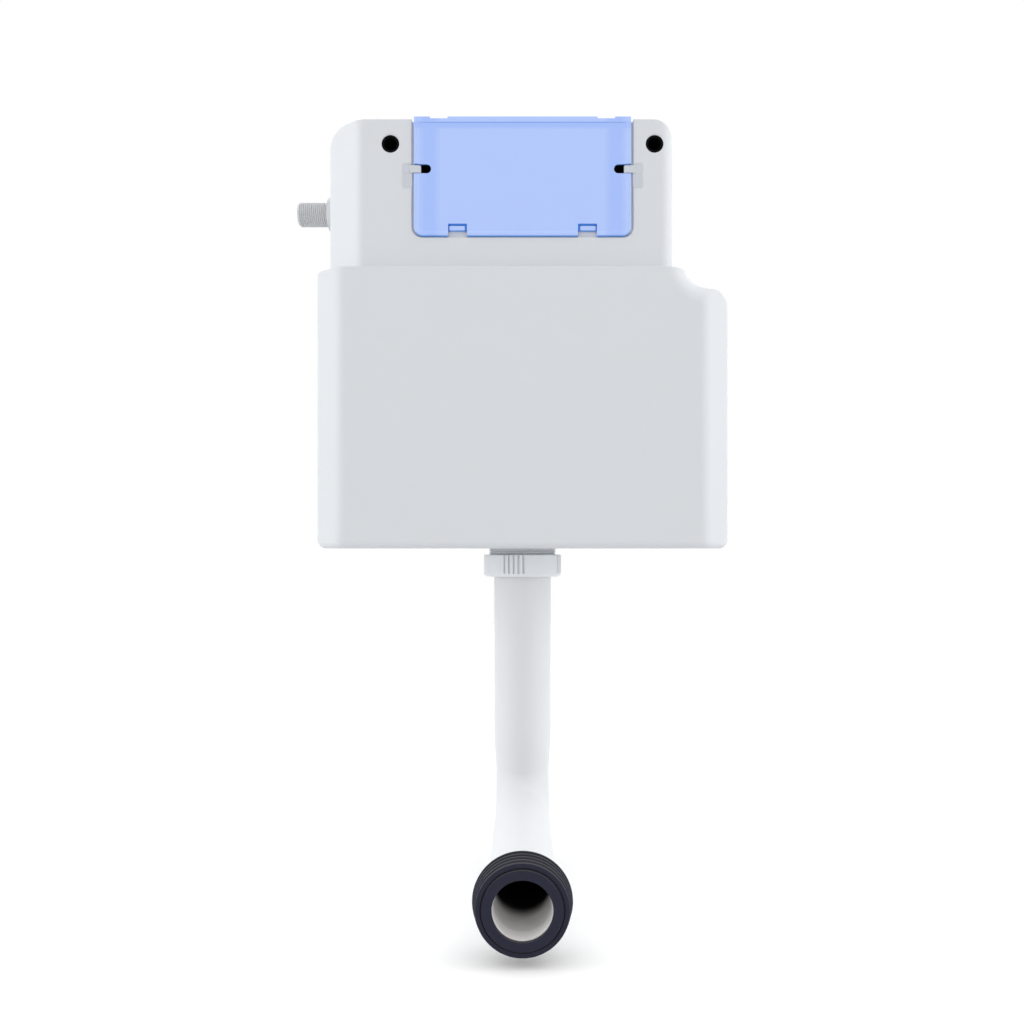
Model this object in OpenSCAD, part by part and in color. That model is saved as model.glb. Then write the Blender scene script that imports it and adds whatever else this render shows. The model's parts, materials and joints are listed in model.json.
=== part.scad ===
// Concealed dual-flush cistern with flush pipe and pan connector.
// Origin: midway between the two wall fixings, on the wall plane.
// X to the right, Y towards the wall, Z up. Lengths in millimetres.

/* [Tank] */
// Width of the lower section
tank_w = 348; // [336:2:360]
// Depth of the lower section, wall to front
tank_d = 130; // [126:1:138]
// Height from the underside to the top
tank_h = 364; // [360:1:376]
// Height of the upper section, ledge to top
upper_h = 129.4; // [120:0.2:140]
// Set-back of the upper front behind the lower front
setback = 15; // [12:1:18]
// Thickness of the tank walls
wall = 4; // [3:0.5:5]

/* [Fixings] */
// Distance of a wall fixing from the upper section's right side
fix_edge = 16.5; // [14:0.5:22]
// Height of the tank top above the fixings
fix_drop = 21; // [19:0.5:24]
// Bore radius of a fixing sleeve
fix_r = 5.5; // [4:0.5:6]
// Thickness of a fixing sleeve
sleeve_t = 1.9; // [1.5:0.1:2.2]

/* [Access cover] */
// Width of the cover
cover_w = 184; // [174:1:186]
// Height of the cover's face
cover_h = 101.2; // [94:0.2:104]
// Length of the cover's top plate, front to back
cover_top = 88; // [80:1:94]
// Height of the catch slot's middle below the tank top
catch_drop = 42.7; // [38:0.1:48]

/* [Inlet] */
// Height of the tank top above the inlet
inlet_drop = 64; // [60:1:80]
// Distance of the inlet behind the upper front
inlet_back = 50; // [44:1:58]
// Thread radius, half-inch pipe thread
inlet_r = 10.4775; // [8:0.0005:13]
// Length of the inlet tail outside the tank
inlet_len = 33; // [30:0.2:45]

/* [Flush valve] */
// Distance of the flush way from the wall
valve_y = 65; // [62:1:70]
// Neck thread radius, two-inch pipe thread
neck_r = 29.8; // [28:0.1:31]
// Length of the threaded neck
neck_len = 15; // [13:0.5:18]
// Room above the raised overflow
overflow_room = 11; // [4:1:40]
// Lift of the full flush
full_lift = 18; // [12:1:20]

/* [Flush pipe] */
// Outer radius of the upper pipe
pipe_r = 25.5; // [24.5:0.1:26]
// Outer radius of the leg towards the pan
leg_r = 23.75; // [22.5:0.05:24]
// Bore radius of the leg
leg_bore = 19.5; // [18:0.1:20]
// Height from tank underside down to the leg's middle
pipe_drop = 233.6; // [200:0.1:300]
// Bend radius of the elbow at its middle
bend_r = 36.7; // [32:0.1:45]
// Distance from the wall to the end of the leg
leg_end = 306; // [260:1:340]

/* [Hidden] */
$fn = 48;

// Clearances
rest_gap = 0.3;
fit_gap = 0.1;
pin_gap = 0.05;
cover_gap = 2;
low_gap = 0.6;

// Tank outline
ledge_h = tank_h - upper_h;
half_w = tank_w / 2;
upper_d = tank_d - setback;
left_in = 6.2;
right_in = 45.5;
upper_l = half_w - left_in;
upper_r = half_w - right_in;
step_in = 36;
step_h = 13.6;
step_drop = 12.1;
edge_w = 22.3;
edge_d = 18;
step_edge = 14;
upper_edge_w = 29.9;
upper_edge_d = 25;
foot_r = 8;
toe_r = 6;
ledge_r = 3;
step_r = 13.3;
shoulder_r = 14;
crown_l = 15;
crown_r = 17;
side_r = 10;
tuck = 30;
fix_span = 2 * (upper_r - fix_edge);
fix_h = tank_h - fix_drop;
base_z = -fix_h;

// Fixing tubes
fix_bore = fix_r + sleeve_t + fit_gap;
fix_tube = fix_bore + 3;
sleeve_in = 0.8;

// Cover and its recess
recess_d = 1.5;
proud = 1.5;
top_proud = 1.3;
cover_t = recess_d + proud - rest_gap;
cover_z1 = tank_h + top_proud;
cover_z0 = cover_z1 - cover_h;
recess_w = cover_w + 2 * cover_gap;
recess_z0 = cover_z0 - low_gap;
rim = 7;
rim_low = 9.7;
open_w = recess_w - 2 * rim;
open_z0 = recess_z0 + rim_low;
cover_face = upper_d + proud;
top_back = cover_face - cover_top;
top_floor = cover_z1 - cover_t - rest_gap;
top_rim = 9;
cover_r = 8;
slot_h = 7.7;
slot_l = 14.6;
slot_z = tank_h - catch_drop;
notch_x = 55;
notch_w = 16;
notch_h = 10.6;
tongue_h = 5;
tongue_t = 2.5;
tongue_in = 1.2;
tongue_gap = 1.4;
key_x = 71;
key_w = 15;
key_h = 2;
key_d = 3.6;

// Catches
catch_w = 8.6;
catch_gap = 1.4;
catch_t = 2.4;
catch_up = 5.3;
catch_dn = 16.8;
arm_tip = 6;
catch_pin = 2.4;
catch_x0 = cover_w / 2 + catch_gap;
catch_x1 = catch_x0 + catch_w;
catch_peg_z = slot_z - (catch_dn - catch_up) / 2;

// Inlet tail
inlet_h = tank_h - inlet_drop;
inlet_y = upper_d - inlet_back;
inlet_pitch = 1.814;
inlet_depth = 1.162;
inlet_bore = 5.5;
shank_in = 0.2;
lead = 0.9;
tail_x = upper_l + inlet_len;
nut_t = 6;
nut_r = 16;
flange_r = 16;
flange_t = 3.5;
washer_t = 2;
spigot_r = 7.5;
spigot_in = 8;
filter_l = 18;
filter_t = 0.9;

// Fill valve
fill_off = 35.8;
fill_x = -(upper_l - fill_off);
fill_r = 14;
fill_dn = 22;
fill_up = 9.8;
socket_r = 9.5;
socket_l = 21;
tube_r = 9;
tube_bore = 6;
tube_z0 = 60;
skin_t = 2;
cap_t = 3.5;
stem_r = 2;
stem_h = 0.9;
cap_z = inlet_h + fill_up + skin_t;
arm_x = fill_x + 19;
arm_z = cap_z + 6.7;
arm_l = 29;
arm_w = 8;
hub_r = 4.5;
ear_t = 3;
arm_pin_r = 2;
tip_r = 2.5;
thumb_l = 9;
thumb_a = 25;
thumb_r = 2;

// Float
float_r = 24;
float_h = 45;
float_t = 2;
float_z = 170;
stop_t = 5;
stop_r = 12;
lug_t = 6;
boss_r = 5;
boss_h = 12;
float_rod_r = 2.5;
float_head_r = 5;
float_head_tip = 1.2;
float_head_t = float_head_r - float_head_tip;
float_rod_x = arm_x + arm_l;
float_head_z = arm_z - tip_r - rest_gap;

// Flush valve
neck_pitch = 2.309;
neck_depth = 1.479;
neck_bore = 23;
gasket_t = 2.5;
seat_bore = 19;
seat_w = 2;
seat_h = 3;
deck_r = 32.5;
deck_t = 4;
spigot_dn = 12;
cage_room = 46;
cage_t = 6;
leg_w = 5;
cage_in = 26.5;
over_r = 13;
over_t = 2;
seal_r = 24;
seal_t = 3;
foot_disc_r = 25;
foot_disc_t = 3.2;
retain_r = 17.5;
retain_t = 3;
rod_x0 = 18;
rod_r = 3;
rod_boss_r = 5.4;
rod_boss_h = 12;
head_r = 8;
head_t = 4;
cage_h = seat_h + seal_t + rod_boss_h + full_lift + cage_room;
deck_z = wall + gasket_t;
seat_z = deck_z + deck_t + seat_h;
seal_z = seat_z + rest_gap;
disc_z = seal_z + seal_t;
cage_z = deck_z + deck_t + cage_h;
half_z = cage_z + cage_t + rest_gap;
half_r = 30;
half_h = 30;

// Levers
pivot_y = 20;
pivot_drop = 94;
pivot_z = tank_h - pivot_drop;
overflow_h = pivot_z - rod_r - full_lift - overflow_room;
crank_l = valve_y - pivot_y;
lever_r = 7;
lever_pin_r = 3;
lug_w = 12;
side_lug = 6;
hub_l = 27.4;
crank_w = 4;
crank_gap = 4.5;
pad_l = 64;
pad_a = 38;
pad_w = 22;
pad_h = 22;
pad_t = 3;
bridge_t = 4;
bridge_w = 92;
bridge_h = 44;
peg_r = 3;
peg_x = 38;
peg_up = 16;
side_lug_x = lug_w / 2 + hub_l + 2 * rest_gap;

// Flush pipe, washer and nut
tail_t = 2.5;
flare_t = 2.5;
flare_in = 1.3;
flare_r = neck_r - flare_in;
pipe_t = 3;
taper_z0 = 28;
elbow_z = -(pipe_drop - bend_r);
taper_z = elbow_z + taper_z0;
nut_wall = 4.5;
nut_gap = 0.3;
nut_up = 9.4;
nut_lip = 5.1;
nut_top_r = 0.6;
nut_low_r = 3;
lip_gap = 0.5;
coup_r = neck_r + nut_gap + nut_wall;
flare_z = -neck_len - tail_t;
lip_z = flare_z - flare_t;
grip_n = 5;
grip_r = 0.9;
grip_a = 7.1;
grip_turn = -12.9;
grip_low = 1.5;

// Pan connector
con_l = 35;
con_lip = 2.7;
con_wall = 3.2;
con_skin = 2.7;
con_step = 4.25;
con_open = 0.4;
collar_up = 1.4;
collar_edge = 0.6;
ring_edge = 0.8;
fin_n = 4;
fin_up = 2.15;
fin_last = 4.2;
fin_first = 2.4;
fin_pitch = 3.9;
fin_land = 1.2;
ring_t = 3;
con_end = leg_end + rest_gap + con_lip;

white = [0.85, 0.86, 0.88];
pale = [0.78, 0.8, 0.84];
blue = [0.69, 0.78, 0.98];
grey = [0.66, 0.67, 0.68];
black = [0.2, 0.2, 0.22];
red = [0.75, 0.2, 0.18];

// Round the corners of an outline given as [x, y, radius]
function unit(v) = v / norm(v);
function corner(a, b, c, n) = b[2] < 0.01 ? [[b[0], b[1]]] :
  let (p = [b[0], b[1]], u = unit([a[0], a[1]] - p), v = unit([c[0], c[1]] - p), h = acos(u * v) / 2)
  let (m = p + unit(u + v) * b[2] / sin(h), s = p + u * b[2] / tan(h) - m, e = p + v * b[2] / tan(h) - m)
  let (t = atan2(s[1], s[0]), d = atan2(e[1], e[0]) - t, w = d > 180 ? d - 360 : d < -180 ? d + 360 : d)
  [for (i = [0:n]) m + b[2] * [cos(t + w * i / n), sin(t + w * i / n)]];
function rounded(p, n = 6) = let (k = len(p))
  [for (i = [0:k - 1]) each corner(p[(i + k - 1) % k], p[i], p[(i + 1) % k], n)];

// Half outline of a thread, from height z up, as crests and grooves
function thread(r, depth, pitch, n, z) =
  [for (i = [0:n - 1]) each [[r, z + i * pitch], [r, z + i * pitch + pitch * 0.2],
    [r - depth, z + i * pitch + pitch * 0.6]]];

module box(x0, x1, d0, d1, z0, z1) {
  translate([x0, -d1, z0]) cube([x1 - x0, d1 - d0, z1 - z0]);
}

module rod_x(r, x0, x1) {
  translate([x0, 0, 0]) rotate([0, 90, 0]) cylinder(r = r, h = x1 - x0);
}

module rod_y(r, d0, d1) {
  translate([0, -d0, 0]) rotate([90, 0, 0]) cylinder(r = r, h = d1 - d0);
}

module ring(r0, r1, z0, z1) {
  translate([0, 0, z0]) difference() {
    cylinder(r = r1, h = z1 - z0);
    translate([0, 0, -1]) cylinder(r = r0, h = z1 - z0 + 2);
  }
}

// An outline seen from the front, extruded from depth d0 to depth d1
module front_plate(p, d0, d1) {
  translate([0, -d0, 0]) rotate([90, 0, 0]) linear_extrude(d1 - d0) polygon(rounded(p));
}

// Everything beyond the line from a to b, moved back by o
module beyond(a, b, o) {
  u = unit(b - a);
  n = [-u[1], u[0]];
  reach = 90;
  polygon([a - u * reach - n * o, b + u * reach - n * o,
    b + u * reach + n * reach, a - u * reach + n * reach]);
}

module plan_cut(a, b, o) {
  translate([0, 0, -10]) linear_extrude(tank_h + 20) beyond(a, b, o);
}

module lower_body(o) {
  difference() {
    front_plate([[-half_w + o, o, foot_r - o / 2], [half_w - o, o, foot_r - o / 2],
      [half_w - o, ledge_h - step_h - o, shoulder_r - o / 2],
      [half_w - step_in - o, ledge_h - step_h - o, step_r],
      [half_w - step_in - o, ledge_h - o, 0], [-half_w + o, ledge_h - o, ledge_r]], o, tank_d - o);
    plan_cut([half_w, edge_d - tank_d], [half_w - edge_w, -tank_d], o);
    plan_cut([edge_w - half_w, -tank_d], [-half_w, edge_d - tank_d], o);
    intersection() {
      plan_cut([half_w - step_in, edge_d - tank_d], [half_w - step_in - step_edge, -tank_d], o);
      translate([half_w - step_in - 2 * step_edge, 0, 0]) rotate([90, 0, 90]) linear_extrude(step_in * 3)
        beyond([-tank_d, ledge_h - step_h - step_drop], [edge_d - tank_d, ledge_h - step_h], o);
    }
    translate([0, -tank_d + toe_r, toe_r]) rotate([0, 90, 0]) difference() {
      translate([0, -toe_r, -half_w]) cube([toe_r + 1, toe_r, tank_w]);
      translate([0, 0, -half_w - 1]) cylinder(r = toe_r, h = tank_w + 2);
      if (o > 0) translate([-1, -toe_r - 1, -half_w - 1]) cube([toe_r + 3, toe_r + 2, tank_w + 2]);
    }
  }
}

module upper_body(o) {
  difference() {
    front_plate([[-upper_l + o, ledge_h - tuck, 0], [upper_r - o, ledge_h - tuck, 0],
      [upper_r - o, tank_h - o, crown_r - o], [-upper_l + o, tank_h - o, crown_l - o]], o, upper_d - o);
    plan_cut([upper_edge_w - upper_l, -upper_d], [-upper_l, upper_edge_d - upper_d], o);
    translate([upper_r - side_r, -upper_d + side_r, ledge_h]) difference() {
      translate([0, -side_r - 1, 0]) cube([side_r + 1, side_r + 1, tank_h]);
      translate([0, 0, -1]) cylinder(r = side_r - o, h = tank_h + 2);
    }
  }
}

module tank_body(o) {
  lower_body(o);
  upper_body(o);
}

module neck() {
  n = floor((neck_len - 1) / neck_pitch);
  z = -neck_pitch * n - 0.4;
  rotate_extrude() polygon(concat(
    [[neck_bore, 1], [neck_bore, -neck_len], [neck_r - neck_depth, -neck_len]],
    thread(neck_r, neck_depth, neck_pitch, n, z), [[neck_r, -0.4], [neck_r, 1]]));
}

module catch_pocket(s) {
  mirror([s < 0 ? 1 : 0, 0, 0]) {
    box(recess_w / 2 - 1, catch_x1 + rest_gap, upper_d - recess_d, upper_d + 5,
      slot_z - catch_dn - rest_gap, slot_z + catch_up + rest_gap);
    translate([(catch_x0 + catch_x1) / 2, 0, catch_peg_z])
      rod_y(catch_pin + fit_gap, upper_d - wall - 1, upper_d);
  }
}

module tank_shell() {
  color(white) translate([0, 0, base_z]) difference() {
    union() {
      difference() {
        tank_body(0);
        tank_body(wall);
      }
      for (s = [-1, 1]) {
        translate([s * fix_span / 2, 0, fix_h]) rod_y(fix_tube, wall / 2, upper_d - wall / 2);
        translate([s * peg_x, 0, pivot_z + peg_up]) rod_y(peg_r, wall / 2, wall + bridge_t);
        box(s * notch_x - notch_w / 2 + tongue_gap, s * notch_x + notch_w / 2 - tongue_gap,
          upper_d - wall / 2, upper_d, recess_z0, recess_z0 + notch_h - tongue_h - 2 * tongue_gap);
      }
      translate([0, -valve_y, 0]) neck();
    }
    for (s = [-1, 1]) {
      translate([s * fix_span / 2, 0, fix_h]) rod_y(fix_bore, -1, upper_d + 1);
      catch_pocket(s);
      box(s * notch_x - notch_w / 2, s * notch_x + notch_w / 2, upper_d - wall - 1, upper_d + 1,
        cover_z0 + notch_h - tongue_h - 2 * tongue_gap, open_z0 + 1);
    }
    translate([0, -valve_y, -1]) cylinder(r = neck_bore, h = wall + 2);
    translate([0, -inlet_y, inlet_h]) rod_x(inlet_r + rest_gap, -upper_l - 1, -upper_l + wall + 1);
    box(-open_w / 2, open_w / 2, upper_d - wall - 1, upper_d + 5, open_z0, tank_h + 5);
    box(-open_w / 2, open_w / 2, top_back + top_rim, upper_d + 5, tank_h - wall - 1, tank_h + 5);
    box(-recess_w / 2, recess_w / 2, top_back - cover_gap, upper_d + 5, top_floor, tank_h + 5);
    difference() {
      front_plate([[-recess_w / 2, recess_z0, cover_r + low_gap],
        [recess_w / 2, recess_z0, cover_r + low_gap], [recess_w / 2, tank_h + 5, 0],
        [-recess_w / 2, tank_h + 5, 0]], upper_d - recess_d, upper_d + 5);
      for (s = [-1, 1])
        box(s * notch_x - notch_w / 2 + tongue_gap, s * notch_x + notch_w / 2 - tongue_gap,
          0, upper_d, recess_z0 - 1, recess_z0 + notch_h - tongue_h - 2 * tongue_gap);
    }
  }
}

module sleeve(s) {
  color(black) translate([s * fix_span / 2, 0, 0]) difference() {
    rod_y(fix_r + sleeve_t, 0, upper_d - sleeve_in);
    rod_y(fix_r, -1, upper_d);
  }
}

module fixing_sleeve_left() {
  sleeve(-1);
}

module fixing_sleeve_right() {
  sleeve(1);
}

module catch_piece() {
  tip = cover_w / 2 - arm_tip;
  lift = slot_h / 2 - 2 * rest_gap;
  translate([0, 0, base_z]) {
    box(catch_x0, catch_x1, upper_d - recess_d, upper_d - recess_d + catch_t,
      slot_z - catch_dn, slot_z + catch_up);
    box(tip, catch_x0 + 1, upper_d - recess_d, upper_d - recess_d + catch_t, slot_z - lift, slot_z + lift);
    translate([(catch_x0 + catch_x1) / 2, 0, catch_peg_z])
      rod_y(catch_pin, upper_d - wall - 2, upper_d - recess_d + 1);
  }
}

module catch_left() {
  color(pale) mirror([1, 0, 0]) catch_piece();
}

module catch_right() {
  color(pale) catch_piece();
}

module access_cover() {
  w = cover_w / 2;
  color(blue) translate([0, 0, base_z]) {
    difference() {
      union() {
        front_plate([[-w, cover_z0, cover_r], [w, cover_z0, cover_r], [w, cover_z1, 0], [-w, cover_z1, 0]],
          cover_face - cover_t, cover_face);
        box(-w, w, top_back, cover_face - cover_t / 2, cover_z1 - cover_t, cover_z1);
      }
      for (s = [-1, 1]) {
        box(s * notch_x - notch_w / 2, s * notch_x + notch_w / 2, cover_face - cover_t - 1, cover_face + 1,
          cover_z0 - 1, cover_z0 + notch_h);
        box(s * key_x - key_w / 2, s * key_x + key_w / 2, cover_face - key_d, cover_face + 1,
          cover_z1 - key_h, cover_z1 + 1);
        mirror([s < 0 ? 1 : 0, 0, 0]) {
          box(w - slot_l + slot_h / 2, w + 1, cover_face - cover_t - 1, cover_face + 1,
            slot_z - slot_h / 2, slot_z + slot_h / 2);
          translate([w - slot_l + slot_h / 2, 0, slot_z])
            rod_y(slot_h / 2, cover_face - cover_t - 1, cover_face + 1);
        }
      }
    }
    for (s = [-1, 1]) {
      box(s * notch_x - notch_w / 2 + tongue_gap, s * notch_x + notch_w / 2 - tongue_gap,
        cover_face - cover_t - tongue_t, cover_face - cover_t,
        cover_z0 + notch_h - tongue_h, cover_z0 + notch_h + tongue_h);
      box(s * notch_x - notch_w / 2 + tongue_gap, s * notch_x + notch_w / 2 - tongue_gap,
        cover_face - cover_t - 1, cover_face - tongue_in,
        cover_z0 + notch_h - tongue_h, cover_z0 + notch_h - tongue_gap);
      box(s * notch_x - notch_w / 2 + tongue_gap, s * notch_x + notch_w / 2 - tongue_gap,
        cover_face - cover_t - 1, cover_face - cover_t + 1,
        cover_z0 + notch_h + 1, cover_z0 + notch_h + tongue_h);
    }
  }
}

module inlet_shank() {
  n = floor((inlet_len - nut_t - lead) / inlet_pitch);
  z = -tail_x + lead;
  f = -upper_l + wall + washer_t;
  color(grey) translate([0, -inlet_y, base_z + inlet_h]) rotate([0, 90, 0]) difference() {
    rotate_extrude($fn = 36) polygon(concat([[0, -tail_x], [inlet_r - inlet_depth, -tail_x]],
      thread(inlet_r, inlet_depth, inlet_pitch, n, z),
      [[inlet_r - shank_in, z + n * inlet_pitch], [inlet_r - shank_in, f],
        [flange_r, f], [flange_r, f + flange_t], [spigot_r, f + flange_t],
        [spigot_r, fill_x - socket_l + spigot_in], [0, fill_x - socket_l + spigot_in]]));
    translate([0, 0, -tail_x - 1]) cylinder(r = inlet_bore, h = tail_x * 2, $fn = 36);
  }
}

module inlet_nut() {
  color(pale) translate([-upper_l - nut_t, -inlet_y, base_z + inlet_h]) rotate([0, 90, 0]) difference() {
    intersection() {
      cylinder(r = nut_r, h = nut_t, $fn = 6);
      cylinder(r1 = nut_r - 1.2, r2 = nut_r + nut_t, h = nut_t);
    }
    translate([0, 0, -1]) cylinder(r = inlet_r + fit_gap, h = nut_t + 2);
  }
}

module inlet_washer() {
  color(black) translate([-upper_l + wall, -inlet_y, base_z + inlet_h]) rotate([0, 90, 0])
    ring(inlet_r + fit_gap, flange_r, 0, washer_t);
}

module inlet_filter() {
  r = inlet_bore - fit_gap;
  color(red) translate([-tail_x + 1, -inlet_y, base_z + inlet_h]) rotate([0, 90, 0]) rotate_extrude()
    polygon([[r - filter_t, 0], [r, 0], [r, filter_l], [0, filter_l], [0, filter_l - filter_t],
      [r - filter_t, filter_l - filter_t]]);
}

module fill_valve_body() {
  color(white) translate([fill_x, -inlet_y, base_z]) difference() {
    union() {
      translate([0, 0, inlet_h - fill_dn]) cylinder(r = fill_r, h = fill_dn + fill_up);
      translate([0, 0, inlet_h]) rod_x(socket_r, -socket_l, 0);
      translate([0, 0, tube_z0]) cylinder(r = tube_r, h = inlet_h - fill_dn - tube_z0 + 1);
      translate([0, 0, float_z - rest_gap - stop_t]) cylinder(r = stop_r, h = stop_t);
    }
    translate([0, 0, tube_z0 - 1]) cylinder(r = tube_bore, h = inlet_h - tube_z0);
    translate([0, 0, inlet_h - inlet_bore]) cylinder(r = fill_r - 4, h = fill_up + inlet_bore + 1);
    translate([0, 0, inlet_h]) {
      rod_x(inlet_bore, -socket_l - 1, 0);
      rod_x(spigot_r + fit_gap, -socket_l - 1, -socket_l + spigot_in + fit_gap);
    }
  }
}

module fill_diaphragm() {
  color(black) translate([fill_x, -inlet_y, base_z + inlet_h + fill_up])
    cylinder(r = fill_r - 1, h = skin_t);
}

module fill_valve_cap() {
  color(pale) translate([fill_x, -inlet_y, base_z + cap_z]) difference() {
    union() {
      cylinder(r = fill_r, h = cap_t);
      translate([arm_x - fill_x - thumb_l, 0, 0]) cylinder(r = stem_r, h = cap_t + stem_h);
      for (s = [-1, 1]) translate([0, s * (arm_w / 2 + rest_gap + ear_t / 2) + ear_t / 2, 0]) {
        box(8, arm_x - fill_x + hub_r, 0, ear_t, 0, arm_z - cap_z);
        translate([arm_x - fill_x, 0, arm_z - cap_z]) rod_y(hub_r, 0, ear_t);
      }
    }
    translate([arm_x - fill_x, 0, arm_z - cap_z]) rod_y(arm_pin_r + pin_gap, -20, 20);
  }
}

module arm_pin() {
  w = arm_w / 2 + rest_gap + ear_t + 0.5;
  color(grey) translate([arm_x, -inlet_y, base_z + arm_z]) rod_y(arm_pin_r, -w, w);
}

module float_arm() {
  color(blue) translate([arm_x, -inlet_y, base_z + arm_z]) difference() {
    union() {
      rod_y(hub_r, -arm_w / 2, arm_w / 2);
      box(0, arm_l, -arm_w / 2, arm_w / 2, -tip_r, tip_r);
      translate([arm_l, 0, 0]) rod_y(tip_r, -arm_w / 2, arm_w / 2);
      rotate([0, thumb_a, 0]) {
        box(-thumb_l - thumb_r, 0, -thumb_r, thumb_r, -thumb_r, thumb_r);
      }
    }
    rod_y(arm_pin_r + pin_gap, -arm_w, arm_w);
  }
}

module fill_float() {
  lug_x = float_rod_x - fill_x;
  color(pale) translate([fill_x, -inlet_y, base_z + float_z]) difference() {
    union() {
      cylinder(r = float_r, h = float_h);
      box(0, lug_x, -boss_r, boss_r, float_h - lug_t, float_h);
      translate([lug_x, 0, float_h - boss_h]) cylinder(r = boss_r, h = boss_h);
    }
    difference() {
      translate([0, 0, -1]) cylinder(r = float_r - float_t, h = float_h - float_t + 1);
      translate([0, 0, -2]) cylinder(r = tube_r + rest_gap + float_t, h = float_h);
    }
    translate([0, 0, -1]) cylinder(r = tube_r + rest_gap, h = float_h + 2);
    translate([lug_x, 0, float_h - boss_h + 2]) cylinder(r = float_rod_r + pin_gap, h = boss_h);
  }
}

module float_rod() {
  z = float_z + float_h - boss_h + 2;
  color(grey) translate([float_rod_x, -inlet_y, base_z]) {
    translate([0, 0, z]) cylinder(r = float_rod_r, h = float_head_z - float_head_t / 2 - z - 1);
    translate([0, 0, float_head_z - float_head_t])
      cylinder(r1 = float_head_r, r2 = float_head_tip, h = float_head_t);
  }
}

module valve_basket() {
  color(pale) translate([0, -valve_y, base_z]) difference() {
    union() {
      rotate_extrude() polygon([[seat_bore, deck_z - deck_t - spigot_dn],
        [neck_bore - rest_gap, deck_z - deck_t - spigot_dn], [neck_bore - rest_gap, deck_z],
        [deck_r, deck_z], [deck_r, deck_z + deck_t], [seat_bore + seat_w, deck_z + deck_t],
        [seat_bore + seat_w, seat_z - 1], [seat_bore + seat_w / 2, seat_z], [seat_bore, seat_z]]);
      for (a = [45:90:315]) rotate(a) translate([cage_in, -leg_w / 2, deck_z + deck_t / 2])
        cube([leg_w, leg_w, cage_h + deck_t / 2 + 1]);
      translate([0, 0, cage_z]) cylinder(r = deck_r, h = cage_t);
    }
    translate([0, 0, cage_z - 1]) {
      cylinder(r = over_r + rest_gap, h = cage_t + 2);
      translate([rod_x0, 0, 0]) cylinder(r = rod_r + rest_gap, h = cage_t + 2);
    }
  }
}

module basket_gasket() {
  color(black) translate([0, -valve_y, base_z]) ring(neck_bore + 1, deck_r - 0.5, wall, deck_z);
}

module overflow_tube() {
  color(white) translate([0, -valve_y, base_z]) difference() {
    union() {
      translate([0, 0, seal_z - retain_t]) cylinder(r = over_r, h = overflow_h - seal_z + retain_t);
      translate([0, 0, disc_z]) cylinder(r = foot_disc_r, h = foot_disc_t);
      translate([rod_x0, 0, disc_z]) cylinder(r = rod_boss_r, h = rod_boss_h);
    }
    translate([0, 0, seal_z - retain_t - 1]) cylinder(r = over_r - over_t, h = overflow_h);
    translate([rod_x0, 0, disc_z + foot_disc_t]) cylinder(r = rod_r + pin_gap, h = rod_boss_h);
  }
}

module valve_seal() {
  color(black) translate([0, -valve_y, base_z]) ring(over_r + fit_gap, seal_r, seal_z, disc_z);
}

module seal_retainer() {
  color(pale) translate([0, -valve_y, base_z]) ring(over_r + fit_gap, retain_r, seal_z - retain_t, seal_z);
}

module lift_rod(z) {
  h = pivot_z + rod_r + rest_gap;
  translate([0, 0, z]) cylinder(r = rod_r, h = h - z + 1);
  translate([0, 0, h]) cylinder(r = head_r, h = head_t);
}

module full_lift_rod() {
  color(grey) translate([rod_x0, -valve_y, base_z]) lift_rod(disc_z + foot_disc_t);
}

module half_flush_float() {
  color(blue) translate([0, -valve_y, base_z + half_z]) difference() {
    cylinder(r = half_r, h = half_h);
    translate([0, 0, -1]) cylinder(r = over_r + rest_gap, h = half_h + 2);
    translate([rod_x0, 0, -1]) cylinder(r = rod_r + rest_gap, h = half_h + 2);
    translate([-rod_x0, 0, half_h - rod_boss_h]) cylinder(r = rod_r + pin_gap, h = rod_boss_h + 1);
    ring(rod_x0 + rod_boss_r, half_r - 2, -1, half_h - 3);
  }
}

module half_lift_rod() {
  color(grey) translate([-rod_x0, -valve_y, base_z]) lift_rod(half_z + half_h - rod_boss_h);
}

module actuator_bridge() {
  color(pale) translate([0, 0, base_z + pivot_z]) difference() {
    union() {
      box(-bridge_w / 2, bridge_w / 2, wall, wall + bridge_t, -bridge_h / 2, bridge_h / 2);
      for (x = [[-lug_w / 2, lug_w / 2], [side_lug_x, side_lug_x + side_lug],
        [-side_lug_x - side_lug, -side_lug_x]]) {
        box(x[0], x[1], wall + bridge_t / 2, pivot_y, -lever_r, lever_r);
        translate([0, -pivot_y, 0]) rod_x(lever_r, x[0], x[1]);
      }
    }
    translate([0, -pivot_y, 0]) rod_x(lever_pin_r + pin_gap, -bridge_w, bridge_w);
    for (s = [-1, 1]) translate([s * peg_x, 0, peg_up]) rod_y(peg_r + fit_gap, 0, wall + bridge_t + 1);
  }
}

module lever_pin() {
  w = side_lug_x + side_lug + 0.5;
  color(grey) translate([0, -pivot_y, base_z + pivot_z]) rod_x(lever_pin_r, -w, w);
}

module lever() {
  x0 = lug_w / 2 + rest_gap;
  translate([0, -pivot_y, base_z + pivot_z]) difference() {
    union() {
      rod_x(lever_r, x0, x0 + hub_l);
      for (s = [-1, 1]) {
        a = rod_x0 + s * (crank_gap + crank_w / 2);
        box(a - crank_w / 2, a + crank_w / 2, 0, crank_l, -rod_r, rod_r);
        translate([0, -crank_l, 0]) rod_x(rod_r, a - crank_w / 2, a + crank_w / 2);
      }
      rotate([pad_a, 0, 0]) box(rod_x0 - lever_r, rod_x0 + lever_r, -rod_r, rod_r, 0, pad_l);
      translate([rod_x0, -pad_l * sin(pad_a), pad_l * cos(pad_a)])
        box(-pad_w / 2, pad_w / 2, -pad_t / 2, pad_t / 2, -pad_h / 2, pad_h / 2);
    }
    rod_x(lever_pin_r + pin_gap, 0, x0 + hub_l + 1);
  }
}

module full_flush_lever() {
  color(blue) lever();
}

module half_flush_lever() {
  color(white) mirror([1, 0, 0]) lever();
}

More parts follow.
